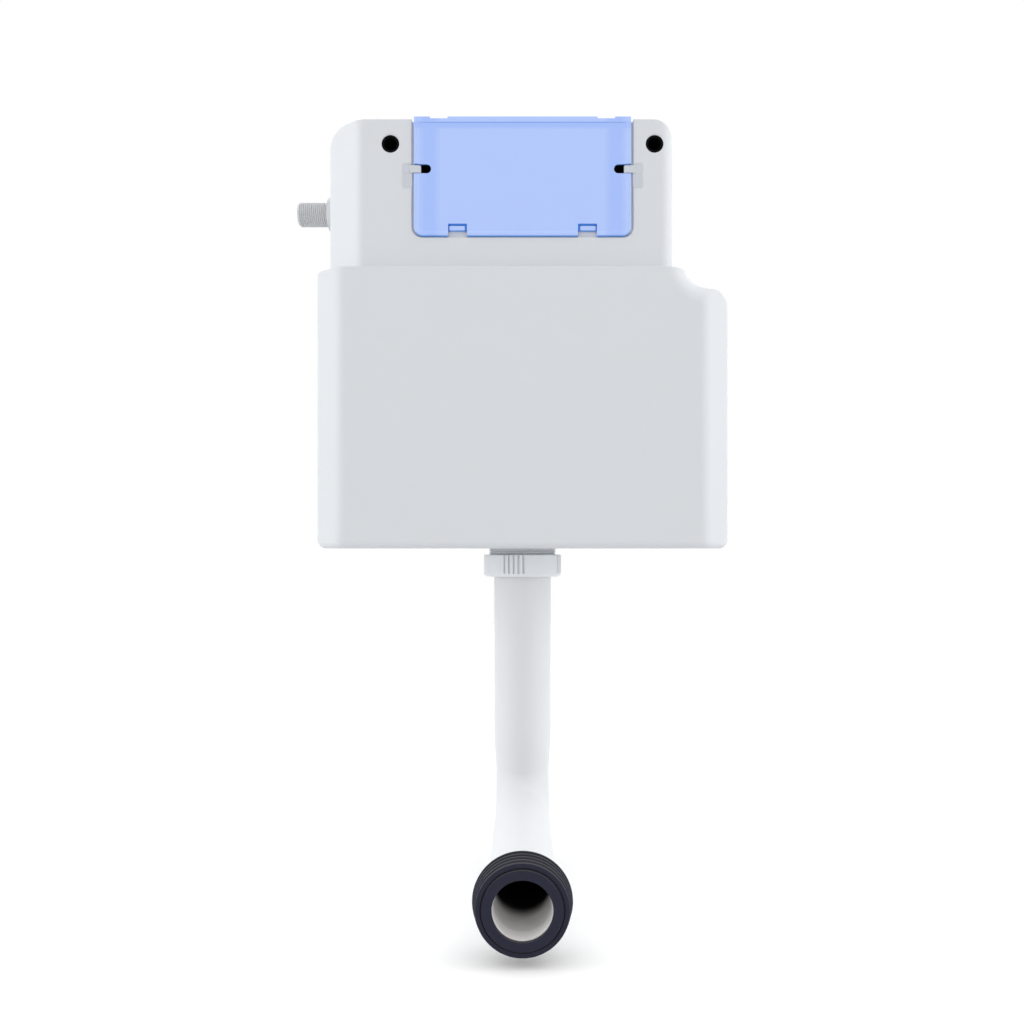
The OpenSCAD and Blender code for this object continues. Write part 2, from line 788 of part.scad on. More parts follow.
module outlet_washer() {
  color(black) translate([0, -valve_y, base_z]) ring(neck_bore, neck_r - 0.5, flare_z, -neck_len);
}

module coupling_nut() {
  b = neck_r + nut_gap;
  z1 = -neck_len + nut_up;
  z0 = lip_z - nut_lip;
  color(white) translate([0, -valve_y, base_z]) difference() {
    rotate_extrude() polygon(rounded([[b, z1, 0], [coup_r, z1, nut_top_r], [coup_r, z0, nut_low_r],
      [pipe_r + lip_gap, z0, 0], [pipe_r + lip_gap, lip_z, 0], [b, lip_z, 0]], 3));
    for (p = [0:90:270], i = [0:grip_n - 1]) rotate(p + grip_turn - 90 + (i - (grip_n - 1) / 2) * grip_a)
      translate([coup_r, 0, lip_z - grip_low]) cylinder(r = grip_r, h = z1 - z0, $fn = 8);
  }
}

module pipe_run(r0, r1, z1, d1) {
  translate([0, 0, taper_z]) cylinder(r = r0, h = z1 - taper_z);
  translate([0, 0, elbow_z]) cylinder(r1 = r1, r2 = r0, h = taper_z0);
  translate([0, -bend_r, elbow_z]) rotate([-90, 0, 90])
    rotate_extrude(angle = 90) translate([bend_r, 0]) circle(r = r1);
  translate([0, -bend_r, -pipe_drop]) rotate([90, 0, 0]) cylinder(r = r1, h = d1 - valve_y - bend_r);
}

module flush_pipe() {
  color(white) translate([0, -valve_y, base_z]) difference() {
    union() {
      pipe_run(pipe_r, leg_r, flare_z, leg_end);
      translate([0, 0, lip_z]) cylinder(r = flare_r, h = flare_t);
    }
    pipe_run(pipe_r - pipe_t, leg_bore, flare_z + 1, leg_end + 1);
  }
}

module pan_connector() {
  fit = leg_r + fit_gap;
  out = fit + con_wall;
  con_in = fit + con_skin;
  con_ring = con_in + con_step;
  fin_root = out + fin_up;
  z1 = con_end;
  z0 = z1 - con_l;
  zf = z1 - ring_t - fin_n * fin_pitch;
  fins = [for (i = [0:fin_n - 1]) each [
    [fin_root, zf + i * fin_pitch + fin_land + 1.2],
    [fin_root, zf + (i + 1) * fin_pitch - 0.6]]];
  tips = [for (i = [0:fin_n - 1]) fin_root + fin_last - (fin_last - fin_first) * i / (fin_n - 1)];
  edge = [for (i = [0:fin_n - 1]) each [
    [tips[i], zf + i * fin_pitch], [tips[i], zf + i * fin_pitch + fin_land], fins[2 * i], fins[2 * i + 1]]];
  color(black) translate([0, 0, base_z - pipe_drop]) rotate([90, 0, 0]) rotate_extrude() polygon(concat(
    [[fit, z0], [out, z0], [out, zf - 3]], edge,
    [[con_ring, z1 - ring_t], [con_ring, z1 - collar_up - ring_edge], [con_ring - ring_edge, z1 - collar_up],
      [con_in, z1 - collar_up], [con_in, z1 - collar_edge], [con_in - collar_edge, z1],
      [leg_bore + con_open, z1], [leg_bore + con_open, z1 - con_lip], [fit, z1 - con_lip]]));
}

tank_shell();
fixing_sleeve_left();
fixing_sleeve_right();
catch_left();
catch_right();
access_cover();
inlet_shank();
inlet_nut();
inlet_washer();
inlet_filter();
fill_valve_body();
fill_diaphragm();
fill_valve_cap();
arm_pin();
float_arm();
fill_float();
float_rod();
valve_basket();
basket_gasket();
overflow_tube();
valve_seal();
seal_retainer();
full_lift_rod();
half_flush_float();
half_lift_rod();
actuator_bridge();
lever_pin();
full_flush_lever();
half_flush_lever();
outlet_washer();
coupling_nut();
flush_pipe();
pan_connector();
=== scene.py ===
"""Looks of a concealed dual-flush cistern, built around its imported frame."""

import json

import bmesh
import bpy
import numpy as np
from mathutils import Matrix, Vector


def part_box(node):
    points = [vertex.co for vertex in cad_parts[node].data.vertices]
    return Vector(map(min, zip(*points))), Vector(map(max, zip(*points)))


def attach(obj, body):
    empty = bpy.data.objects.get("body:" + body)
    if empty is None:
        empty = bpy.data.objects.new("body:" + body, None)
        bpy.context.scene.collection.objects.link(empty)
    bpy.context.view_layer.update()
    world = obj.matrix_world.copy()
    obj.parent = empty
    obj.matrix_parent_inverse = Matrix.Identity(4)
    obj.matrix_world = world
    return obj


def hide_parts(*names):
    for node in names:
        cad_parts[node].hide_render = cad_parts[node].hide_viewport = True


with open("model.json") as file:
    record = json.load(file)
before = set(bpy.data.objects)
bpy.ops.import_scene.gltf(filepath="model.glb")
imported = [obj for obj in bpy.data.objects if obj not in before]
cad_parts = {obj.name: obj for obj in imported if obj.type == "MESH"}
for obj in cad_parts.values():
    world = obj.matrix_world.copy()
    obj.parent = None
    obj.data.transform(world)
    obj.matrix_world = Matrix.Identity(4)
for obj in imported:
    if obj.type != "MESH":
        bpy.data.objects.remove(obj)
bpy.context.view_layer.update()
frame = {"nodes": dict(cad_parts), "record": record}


# Places from the frame

# Millimetres: x to the right, d forward from the wall, z up from the tank's underside.
NECK_LENGTH = 15.0  # outlet neck below the underside
LINE = np.round(-1000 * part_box("tank_shell")[0][2], 2) - NECK_LENGTH  # height of the wall fixings


def extent(node):
    """Ranges of a CAD node in x, d and z, rounded to hundredths."""
    low, high = (np.round(np.array(corner) * 1000, 2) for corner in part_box(node))
    return (low[0], high[0]), (-high[1], -low[1]), (low[2] + LINE, high[2] + LINE)


def middle(span):
    """Middle of a range, rounded to hundredths."""
    return np.round((span[0] + span[1]) / 2, 2)


TANK_X, TANK_D, TANK_Z = extent("tank_shell")
COVER_X, COVER_D, COVER_Z = extent("access_cover")
CATCH_X, CATCH_D, CATCH_Z = extent("catch_right")
INLET_X = extent("inlet_shank")[0]
LOCK_X, LOCK_D, LOCK_Z = extent("inlet_nut")
GRIP_X, GRIP_D, GRIP_Z = extent("coupling_nut")
PIPE_X, PIPE_D, PIPE_Z = extent("flush_pipe")
CONNECTOR_X, CONNECTOR_D, CONNECTOR_Z = extent("pan_connector")
FIX_X = frame["record"]["mounts"][0]["dims"]["spacing_x_mm"] / 2  # wall fixings from the middle
INLET_D, INLET_Z = middle(LOCK_D), middle(LOCK_Z)  # axis of the inlet
VALVE_D = middle(GRIP_D)  # axis of the outlet
LEG_Z = middle(CONNECTOR_Z)  # axis of the pipe's leg
SIDES = ((-1, "left"), (1, "right"))


# Shapes

ARC, RUN = 13, 6  # points in a rounded corner and on a straight edge
ROWS = np.append(np.linspace(0, 0.26, 44)[1:], [0.3, 0.45, 0.65, 0.85, 1])  # rows from a rim to the middle
TURN = 2 * np.pi
CUT, ADD = "DIFFERENCE", "UNION"


def unit(v):
    """Vectors divided by their length."""
    return v / np.maximum(np.linalg.norm(v, axis=-1, keepdims=True), 1e-12)


def smooth_step(x, a, b):
    """0 at a and before it, 1 at b and beyond, and 3t^2 - 2t^3 between them."""
    t = np.clip((x - a) / (b - a), 0, 1)
    return t * t * (3 - 2 * t)


def outline(corners, arc=ARC, runs=RUN):
    """Closed outline with corners (x, z, radius): at each, an arc about the point at radius / sin(half
    angle) along the bisector, then as many points as runs says on the straight edge to the next arc, closer
    together towards its ends: their places are sin^2 of even steps."""
    c = np.asarray(corners, float)
    p, r = c[:, :2], c[:, 2:3]
    u, v = unit(np.roll(p, 1, 0) - p), unit(np.roll(p, -1, 0) - p)
    half = np.arccos(np.clip((u * v).sum(1, keepdims=True), -1, 1)) / 2
    m = p + unit(u + v) * r / np.sin(half)
    a, b = p + u * r / np.tan(half) - m, p + v * r / np.tan(half) - m
    t0 = np.arctan2(a[:, 1:], a[:, :1])
    turn = (np.arctan2(b[:, 1:], b[:, :1]) - t0 + np.pi) % TURN - np.pi
    t = t0 + turn * np.linspace(0, 1, arc)
    arcs = m[:, None] + r[:, None] * np.stack([np.cos(t), np.sin(t)], -1)
    edges = zip(arcs, np.roll(arcs, -1, 0), np.broadcast_to(runs, len(c)))
    part = lambda n: np.sin(np.linspace(0, np.pi / 2, n + 2)[1:-1, None]) ** 2
    spans = [np.concatenate([k, k[-1] + (after[0] - k[-1]) * part(n)]) for k, after, n in edges]
    return np.concatenate(spans)


def box_corners(x, z, low, high):
    """Corners of an upright box with one radius below and one above."""
    return [(x[0], z[0], low), (x[1], z[0], low), (x[1], z[1], high), (x[0], z[1], high)]


def around(values, arc=ARC, runs=RUN):
    """One value per edge, carried along an outline's points; it changes evenly within each corner."""
    edges = zip(np.roll(values, 1), values, np.broadcast_to(runs, len(values)))
    return np.concatenate([np.append(np.linspace(last, v, arc), np.full(n, v)) for last, v, n in edges])


def inward(p):
    """Unit normals to the left of an outline, square to the mean of the two edges, of which the shorter
    weighs more."""
    to, fro = np.roll(p, -1, 0) - p, p - np.roll(p, 1, 0)
    length = lambda v: np.linalg.norm(v, axis=1, keepdims=True)
    k = unit(to) * length(fro) + unit(fro) * length(to)
    return unit(np.stack([-k[:, 1], k[:, 0]], -1))


def lift(p, d):
    """Grid of points from outlines p[row, column, (x, z)] and depths d[row, column]."""
    d = np.broadcast_to(d, p.shape[:2])
    return np.stack([p[..., 0], -d, p[..., 1]], -1)


def soft_min(a, b, k):
    """Lower of two heights, blended by a parabola where they differ by less than k."""
    h = np.maximum(k - np.abs(a - b), 0) / k
    return np.minimum(a, b) - h * h * k / 4


def body(rear, depth, d0, rho, br=0.4, rows=ROWS):
    """Closed body on a rear outline: a flat back with its edge rounded by br, a straight wall, and a front
    at the height depth(x, z). The wall turns onto the front through an arc of radius rho that is tangent to
    both: with t the angle between them, it takes rho tan(t / 2) off the wall and reaches rho (1 - cos t)
    inward."""
    probe = 0.5  # distance over which the front's slope is taken
    mid = (rear.min(0) + rear.max(0)) / 2
    n, rim = inward(rear), depth(rear)
    t = np.arctan2(probe, depth(rear + n * probe) - rim)
    q = np.linspace(0, 1, 8)[:, None]
    foot = rim - rho * np.tan(t / 2)
    back = rear + n * (br * (1 - np.sin(q * np.pi / 2)))[..., None]
    side = rear + n * (rho * (1 - np.cos(t * q)))[..., None]
    face = side[-1] + (mid - side[-1]) * rows[:, None, None]
    run = foot - d0 - br
    end = np.minimum(0.2, 0.6 / run)
    up = np.stack([end, 0 * end + 0.3, 0 * end + 0.7, 1 - end])
    fan = np.array([0, 0.5, 0.95])[:, None, None]
    p = np.concatenate([mid + (back[0] - mid) * fan, back, np.repeat(rear[None], 4, 0), side, face])
    d = np.concatenate([np.full((3, len(rear)), d0), d0 + br * (1 - np.cos(q * np.pi / 2)) + 0 * rim,
                        d0 + br + run * up, foot + rho * np.sin(t * q), depth(face)])
    return lift(p, d)


def block(x, d, z, r):
    """Box from x[0] to x[1], d[0] to d[1] and z[0] to z[1] with its front edges rounded by r."""
    c = r * 1.05
    rear = outline(box_corners(x, z, c, c))
    return body(rear, lambda p: np.full(p.shape[:-1], d[1]), d[0], np.full(len(rear), r), min(r, 0.4),
                np.array([0.03, 0.5, 1]))


def lipped(corners, d0, d1, lip, wide=None, over=0.04, out=6.0):
    """Cutter: an outline carried from depth d0 to d1 and over it, opened by wide (1 - cos t) along the last
    lip of depth, so that it leaves a rounded rim, then carried on by out."""
    p = outline(corners)
    mid = (p.min(0) + p.max(0)) / 2
    t = np.radians(np.linspace(0, 82, 7))[:, None]
    rim = p - inward(p) * ((wide or lip) * (1 - np.cos(t)))[..., None]
    fan = np.array([0, 1])[:, None, None]
    q = np.concatenate([mid + (p - mid) * fan, rim, mid + (rim[-1] - mid) * fan[::-1]])
    d = np.concatenate([[[d0]], [[d0]], d1 + over - lip * (1 - np.sin(t)), [[d1 + out]], [[d1 + out]]])
    return lift(q, d)


def turned(r, h, centre, axis, n=96):
    """Surface turned about an axis through centre: radius r at h along it, each given by row or by row and
    column."""
    a = np.linspace(0, TURN, n, endpoint=False)
    r = np.asarray(r, float)
    r = r if r.ndim == 2 else np.repeat(r[:, None], n, 1)
    h = np.asarray(h, float)
    h = h if h.ndim == 2 else np.repeat(h[:, None], n, 1)
    u, v = r * np.cos(a), r * np.sin(a)
    return np.stack({"x": [h, u, v], "y": [u, -h, v], "z": [u, v, h]}[axis], -1) + np.asarray(centre, float)


def bar(r, span, centre, axis, n=48):
    """Solid round bar along an axis, from span[0] to span[1]."""
    return turned([0, r, r, 0], [span[0], span[0], span[1], span[1]], centre, axis, n)


def thread(h0, h1, pitch, crest, depth, lead, n=120, per=18):
    """Radius and height of a thread from h0 to h1: each row follows the helix, one pitch higher after a
    turn, and lies deeper by the wave of its place in the pitch; both ends run out to the plain crest over
    lead."""
    a = np.linspace(0, 1, n, endpoint=False)
    i = np.arange(-per, per * (int((h1 - h0) / pitch) + 1) + 1)[:, None] / per
    h = np.clip(h0 + (i + a) * pitch, h0, h1)
    wave = smooth_step(np.abs(i % 1 - 0.5) * 2, 0.05, 0.7)
    on = smooth_step(h, h0, h0 + lead) * smooth_step(h, h1, h1 - lead)
    return crest - depth * (1 - wave) * on, h


def level(n, *values):
    """Rows of n equal values."""
    return np.repeat(np.array(values, float)[:, None], n, 1)


def skin(name, p, ring=True, loop=False, helix=None):
    """Mesh of a grid of points: faces join neighbours in a row with those of the next row. Ring joins the
    last column to the first and loop the last row to the first; between the rows that helix names, the ring
    joins a row to the one a pitch above. Doubled points are merged and faces turned outward."""
    ids = np.arange(p.shape[0] * p.shape[1]).reshape(p.shape[:2])
    if ring:
        after = np.arange(len(ids))
        if helix:
            first, last, per = helix
            after[first:last + 1] = np.minimum(after[first:last + 1] + per, last)
        ids = np.concatenate([ids, ids[after, :1]], 1)
    ids = np.concatenate([ids, ids[:1]], 0) if loop else ids
    quads = np.stack([ids[:-1, :-1], ids[:-1, 1:], ids[1:, 1:], ids[1:, :-1]], -1).reshape(-1, 4)
    me = bpy.data.meshes.new(name)
    me.from_pydata(((p.reshape(-1, 3) - (0, 0, LINE)) / 1000).tolist(), [], quads.tolist())
    return tidy(me)


def tidy(me):
    """Merges doubled points, drops faces without area, closes gaps of one triangle and turns faces out."""
    bm = bmesh.new()
    bm.from_mesh(me)
    bmesh.ops.remove_doubles(bm, verts=bm.verts, dist=2e-6)
    bmesh.ops.dissolve_degenerate(bm, edges=bm.edges, dist=1e-7)
    bmesh.ops.holes_fill(bm, edges=[e for e in bm.edges if e.is_boundary], sides=3)
    bmesh.ops.recalc_face_normals(bm, faces=bm.faces)
    bm.to_mesh(me)
    bm.free()
    return me


def carve(me, *steps):
    """Mesh after the grid of points of each (operation, points) step is united with it or taken from it."""
    tool = [bpy.data.objects.new("blank", me)]
    tool += [bpy.data.objects.new("cutter", skin("part", p)) for _, p in steps]
    for o in tool:
        bpy.context.scene.collection.objects.link(o)
    for o, (kind, _) in zip(tool[1:], steps):
        m = tool[0].modifiers.new("carve", "BOOLEAN")
        m.operation, m.object, m.solver = kind, o, "EXACT"
    done = bpy.data.meshes.new_from_object(tool[0].evaluated_get(bpy.context.evaluated_depsgraph_get()))
    for o in tool:
        old = o.data
        bpy.data.objects.remove(o)
        bpy.data.meshes.remove(old)
    return tidy(done)


def piece(name, me, material, body, slot, *nodes, angle=38):
    """Object of a mesh, smooth up to the angle, that rides a body and stands for CAD nodes."""
    me.materials.clear()
    me.materials.append(material)
    me.shade_smooth()
    me.set_sharp_from_angle(angle=np.radians(angle))
    o = bpy.data.objects.new(name, me)
    bpy.context.scene.collection.objects.link(o)
    w = o.modifiers.new("flat_faces", "WEIGHTED_NORMAL")
    w.keep_sharp = True
    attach(o, body)
    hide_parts(*nodes)
    return o


# Finishes

def maths(tree, kind, *values):
    """Math node over sockets and numbers."""
    m = tree.nodes.new("ShaderNodeMath")
    m.operation = kind
    for k, v in enumerate(values):
        if isinstance(v, float):
            m.inputs[k].default_value = v
        else:
            tree.links.new(v, m.inputs[k])
    return m.outputs[0]


def moulded_surface():
    """Node group of a moulded plastic: slow drift of tone, fine grain in roughness and height."""
    g = bpy.data.node_groups.new("moulded_surface", "ShaderNodeTree")
    sockets = {"INPUT": ("Drift", "Grain", "Rough", "Spread"), "OUTPUT": ("Roughness", "Height")}
    for way, numbers in sockets.items():
        g.interface.new_socket("Color", in_out=way, socket_type="NodeSocketColor")
        for name in numbers:
            g.interface.new_socket(name, in_out=way, socket_type="NodeSocketFloat")
    n, link = g.nodes, g.links.new
    i, o, at = n.new("NodeGroupInput"), n.new("NodeGroupOutput"), n.new("ShaderNodeTexCoord")
    slow, fine, clouds = (n.new("ShaderNodeTexNoise") for _ in range(3))
    slow.inputs["Scale"].default_value, slow.inputs["Detail"].default_value = 9.0, 2.0
    clouds.inputs["Scale"].default_value, clouds.inputs["Detail"].default_value = 45.0, 3.0
    fine.inputs["Detail"].default_value = 4.0
    link(i.outputs["Grain"], fine.inputs["Scale"])
    for t in (slow, fine, clouds):
        link(at.outputs["Object"], t.inputs["Vector"])

    drift = maths(g, "ADD", slow.outputs["Fac"], maths(g, "MULTIPLY", clouds.outputs["Fac"], 0.4))
    tone = maths(g, "ADD", 1.0, maths(g, "MULTIPLY", i.outputs["Drift"], maths(g, "SUBTRACT", drift, 0.7)))
    tint = n.new("ShaderNodeVectorMath")
    tint.operation = "SCALE"
    link(i.outputs["Color"], tint.inputs[0])
    link(tone, tint.inputs["Scale"])
    link(tint.outputs[0], o.inputs["Color"])
    grain = maths(g, "SUBTRACT", maths(g, "ADD", fine.outputs["Fac"], clouds.outputs["Fac"]), 1.0)
    rough = maths(g, "ADD", i.outputs["Rough"], maths(g, "MULTIPLY", i.outputs["Spread"], grain))
    link(rough, o.inputs["Roughness"])
    link(fine.outputs["Fac"], o.inputs["Height"])
    return g


MOULDED = moulded_surface()


def srgb(*c):
    """Linear colour of a screen colour in 0 to 255."""
    c = np.asarray(c, float) / 255
    return tuple(np.where(c < 0.04045, c / 12.92, ((c + 0.055) / 1.055) ** 2.4)) + (1.0,)


def ramp(tree, value, a, b):
    """Smooth change from 0 at a to 1 at b."""
    m = tree.nodes.new("ShaderNodeMapRange")
    m.interpolation_type = "SMOOTHSTEP"
    lo, hi = min(a, b), max(a, b)
    for k, v in (("From Min", lo), ("From Max", hi), ("To Min", float(a > b)), ("To Max", float(a < b))):
        m.inputs[k].default_value = v
    tree.links.new(value, m.inputs["Value"])
    return m.outputs["Result"]


def ramp_mm(tree, value, a, b):
    """Smooth change along a length from 0 at a to 1 at b, in millimetres."""
    return ramp(tree, value, a / 1000, b / 1000)


def tinted(tree, color, mask, tint):
    """Colour multiplied by a tint where the mask is 1."""
    m = tree.nodes.new("ShaderNodeMix")
    m.data_type, m.blend_type = "RGBA", "MULTIPLY"
    m.inputs[7].default_value = tint
    tree.links.new(mask, m.inputs[0])
    tree.links.new(color, m.inputs[6])
    return m.outputs[2]


def apart(tree, kind, output):
    """Sockets of the three parts of a node's vector."""
    of, xyz = tree.nodes.new(kind), tree.nodes.new("ShaderNodeSeparateXYZ")
    tree.links.new(of.outputs[output], xyz.inputs[0])
    return xyz.outputs


RIB_IN, RIB_OUT = (24.0, 16.0), (3.5, 9.5)  # flanks of the painted shade over a rib, from the cover's side
BAND_LOW, BAND_HIGH = (10.8, 8.8), (3.8, 4.5)  # flanks of that under the top border, from the cover's top
RIB_SHADE_TINT, DOWN_EDGE_SHADE_TINT = (0.85, 0.905, 0.985, 1), (0.40, 0.66, 0.86, 1)  # painted shade over ribs and under the top border, and painted shade on edges that face down


def cover_painted_shade(tree, color):
    """Painted shade on the thin cover: a little darker over the upright ribs, where shade behind it shows
    through, and under the top border, which shades it; strong blue on edges that face down, where little
    light falls."""
    x, _, z = apart(tree, "ShaderNodeTexCoord", "Object")
    side = maths(tree, "SUBTRACT", COVER_X[1] / 1000, maths(tree, "ABSOLUTE", x))
    under = maths(tree, "SUBTRACT", (COVER_Z[1] - LINE) / 1000, z)
    rib = maths(tree, "MULTIPLY", ramp_mm(tree, side, *RIB_IN), ramp_mm(tree, side, *RIB_OUT))
    band = maths(tree, "MULTIPLY", ramp_mm(tree, under, *BAND_LOW), ramp_mm(tree, under, *BAND_HIGH))
    color = tinted(tree, color, maths(tree, "MAXIMUM", rib, band), RIB_SHADE_TINT)
    facing = apart(tree, "ShaderNodeNewGeometry", "Normal")["Z"]
    return tinted(tree, color, ramp(tree, facing, -0.15, -0.7), DOWN_EDGE_SHADE_TINT)


BORE_FACE = (21.6, 20.6)  # from the leg's axis: between the faces of its wall
BORE_END = (211.0, 201.0)  # from the mouth: where the leg meets the bend
BORE_NEAR, BORE_DEEP = (13.5, 14.5), (34.0, 56.0)  # from the mouth: where its two painted shadows set in
NEAR_DARK, DEEP_DARK = 0.13, 0.86  # how dark they are
BORE_LIGHT_TINT = (1.34, 1.29, 1.25, 1)  # painted light: the inside is drawn lighter than the outside where no painted shadow lies


def bore_painted_shade(tree, color):
    """Flush pipe: painted light lightens the inside of the leg, and painted shade darkens it from the
    mouth to the bend.
    """
    x, y, z = apart(tree, "ShaderNodeTexCoord", "Object")
    rise = maths(tree, "SUBTRACT", z, (LEG_Z - LINE) / 1000)
    back = maths(tree, "ADD", y, PIPE_D[1] / 1000)
    square = maths(tree, "ADD", maths(tree, "MULTIPLY", x, x), maths(tree, "MULTIPLY", rise, rise))
    away = maths(tree, "SQRT", square)
    inside = maths(tree, "MULTIPLY", ramp_mm(tree, away, *BORE_FACE), ramp_mm(tree, back, *BORE_END))
    color = tinted(tree, color, inside, BORE_LIGHT_TINT)
    near = maths(tree, "MULTIPLY", ramp_mm(tree, back, *BORE_NEAR), NEAR_DARK)
    deep = maths(tree, "MULTIPLY", ramp_mm(tree, back, *BORE_DEEP), DEEP_DARK)
    dark = maths(tree, "MULTIPLY", inside, maths(tree, "ADD", near, deep))
    return tinted(tree, color, dark, (0, 0, 0, 1))


# painted light: how much paler what faces up is drawn
TOP_LIGHT_TINT = (3.8, 3.5, 1.9, 1)


def painted_top_light(tree, color):
    """Rubber: painted light, a paler tone on what faces up, where more light falls from above."""
    facing = apart(tree, "ShaderNodeNewGeometry", "Normal")["Z"]
    return tinted(tree, color, ramp(tree, facing, 0.0, 0.9), TOP_LIGHT_TINT)


def finish(name, color, rough=0.4, drift=0.05, grain=900.0, spread=0.12, bump=0.03, metal=0.0, shine=0.5,
           shade=None):
    """Material of a moulded or drawn piece."""
    m = bpy.data.materials.new(name)
    m.use_nodes = True
    n, link = m.node_tree.nodes, m.node_tree.links.new
    s = n["Principled BSDF"]
    g = n.new("ShaderNodeGroup")
    g.node_tree = MOULDED
    values = {"Color": color, "Drift": drift, "Grain": grain, "Rough": rough, "Spread": spread}
    for k, v in values.items():
        g.inputs[k].default_value = v
    b = n.new("ShaderNodeBump")
    b.inputs["Strength"].default_value, b.inputs["Distance"].default_value = bump, 0.0005
    link(g.outputs["Height"], b.inputs["Height"])
    link(b.outputs[0], s.inputs["Normal"])
    tone = g.outputs["Color"]
    link(shade(m.node_tree, tone) if shade else tone, s.inputs["Base Color"])
    link(g.outputs["Roughness"], s.inputs["Roughness"])
    s.inputs["Metallic"].default_value, s.inputs["Specular IOR Level"].default_value = metal, shine
    return m


TANK = finish("tank_plastic", srgb(212, 215, 219), rough=0.5, drift=0.02)
# inside of its leg: painted light, then painted shade towards the bend
PIPE = finish("pipe_plastic", srgb(218, 220, 222), rough=0.45, drift=0.015, shine=0.2, shade=bore_painted_shade)
NUT = finish("nut_plastic", srgb(224, 227, 231), rough=0.45, drift=0.02)
PALE = finish("pale_plastic", srgb(201, 205, 212), rough=0.42, drift=0.03)
GREY = finish("grey_plastic", srgb(196, 197, 200), rough=0.4, drift=0.04, bump=0.01)
# painted shade over the ribs, under the top border and on edges that face down
BLUE = finish("cover_blue", srgb(176, 198, 251), rough=0.42, drift=0.02, shade=cover_painted_shade)
# painted shade: the deep blue of the cover's edge faces in shade, worn by the notch rims
SHADED_EDGE_BLUE = finish("cover_edge_painted_shade", srgb(36, 124, 222), rough=0.4, drift=0.05)
RED = finish("red_plastic", srgb(176, 44, 38), rough=0.4, drift=0.06)
# black plastic, drawn near black so that the fixing sleeves also stand for the shade deep in their holes:
# painted shade
BLACK = finish("black_plastic", srgb(4, 5, 8), rough=0.7, drift=0.2, shine=0.08)
# paler on what faces up: painted light
RUBBER = finish("black_rubber", srgb(32, 33, 50), rough=0.42, drift=0.12, grain=1400.0, spread=0.16,
                bump=0.1, shine=0.18, shade=painted_top_light)
STEEL = finish("steel", srgb(190, 191, 193), rough=0.28, drift=0.06, grain=700.0, spread=0.14, bump=0.02,
               metal=1.0)
SLOT_FINISH = {"tank_white": TANK, "pipe_white": PIPE, "pale_plastic": PALE, "grey_plastic": GREY,
               "cover_blue": BLUE, "red_plastic": RED, "black_plastic": BLACK, "black_rubber": RUBBER,
               "steel": STEEL}


# Tank

WALL = 4.0
FRONT = TANK_D[1]  # front of the lower half
HALF = TANK_X[1] + 0.75  # half its width, with the bulge of a moulded wall
FLANK_W, FLANK_D = 22.3, 18.0  # width and depth of its sloped front edges
LEDGE_Z, LEDGE_END = 234.6, 136.6  # its top, and where that meets the right shoulder
DIP_X, DIP_Z, DIP_R = 141.7, 221.7, 20.0  # hollow corner of the shoulder
STEP_Z, STEP_R = 216.6, 14.0  # outer end of the shoulder
FOOT_R, LEDGE_R, LIP_R = 8.0, 3.0, 2.0  # corners below, at the ledge's left end and at its right end
ROLL_R = 17.0  # rounding of the front along the shoulder
ROLL_SHARE, BEND_SHARE = 0.95, 0.97  # part of the front's arcs that is used, short of upright
LOWER_EDGES = np.array([5, 6, 4, 3, 0.4, 6])  # rounding of its front edges, from the underside round
LOWER_RUNS = (48, 36, 8, 0, 48, 36)  # points on each of these edges
LOWER_BLEND, UPPER_BLEND = 4.4, 3.5  # height difference over which faces of the front flow together
BACK_R = 1.5  # rounding of the edges at the wall
UPPER_FRONT = FRONT - 15.0
UPPER_L, UPPER_R, UPPER_LOW = -168.5, 127.9, 205.0  # sides of the upper half and its hidden lower end
UPPER_FLANK_W, UPPER_FLANK_D = 29.9, 25.0  # its sloped left edge
UPPER_BEND = 11.0  # arc of its front at the right
CROWN_L, CROWN_R = 15.0, 17.0  # its top corners
HIDDEN_L, HIDDEN_R = 12.0, 14.0  # its hidden lower corners
UPPER_EDGES = np.array([1, 3, 1, 8])
UPPER_RUNS = 40
FIX_R, BEVEL_W, BEVEL_D, BOSS_R = 7.5, 1.2, 0.8, 10.5  # wall fixings: hole, bevel at its rims, boss
ABOVE = TANK_Z[1] + 11  # clear of the tank's top
SEAT_X, SEAT_Z, SEAT_R = COVER_X[1] + 1.9, COVER_Z[0] - 0.4, 8.6  # recess of the cover: side, foot, corner
SEAT_D, SEAT_LIP = UPPER_FRONT - 2.4, 0.8  # its floor and rounded rim
MOUTH_X, MOUTH_Z, MOUTH_D = COVER_X[1] - 5, COVER_Z[0] + 9.1, UPPER_FRONT - 7  # opening inside it
TOP_SEAT_X, TOP_SEAT_D = COVER_X[1] + 2, COVER_D[0] - 2  # recess of the cover's top
TOP_SEAT_Z = COVER_Z[1] - 3
TOP_MOUTH_D, TOP_MOUTH_Z = COVER_D[0] + 9, COVER_Z[1] - 8.3  # opening below that
POCKET_X = (COVER_X[1], CATCH_X[1] - 0.6)  # shallow pocket under each catch
POCKET_Z = (CATCH_Z[0] + 0.9, CATCH_Z[1] - 1)
POCKET_D, POCKET_R, POCKET_LIP, POCKET_WIDE = UPPER_FRONT - 1.5, 2.0, 1.3, 2.4
PEG_X, PEG_Z, PEG_R = CATCH_X[1] - 4.3, middle(CATCH_Z), 2.4  # peg of each catch
BORE = 23.0  # outlet
INLET_HOLE, INLET_CUT = 10.8, (UPPER_L - 3.5, UPPER_L + 8.5)  # hole of the inlet through the left wall
NECK_R, NECK_PITCH, NECK_DEPTH = 29.8, 2.309, 1.48  # two-inch pipe thread


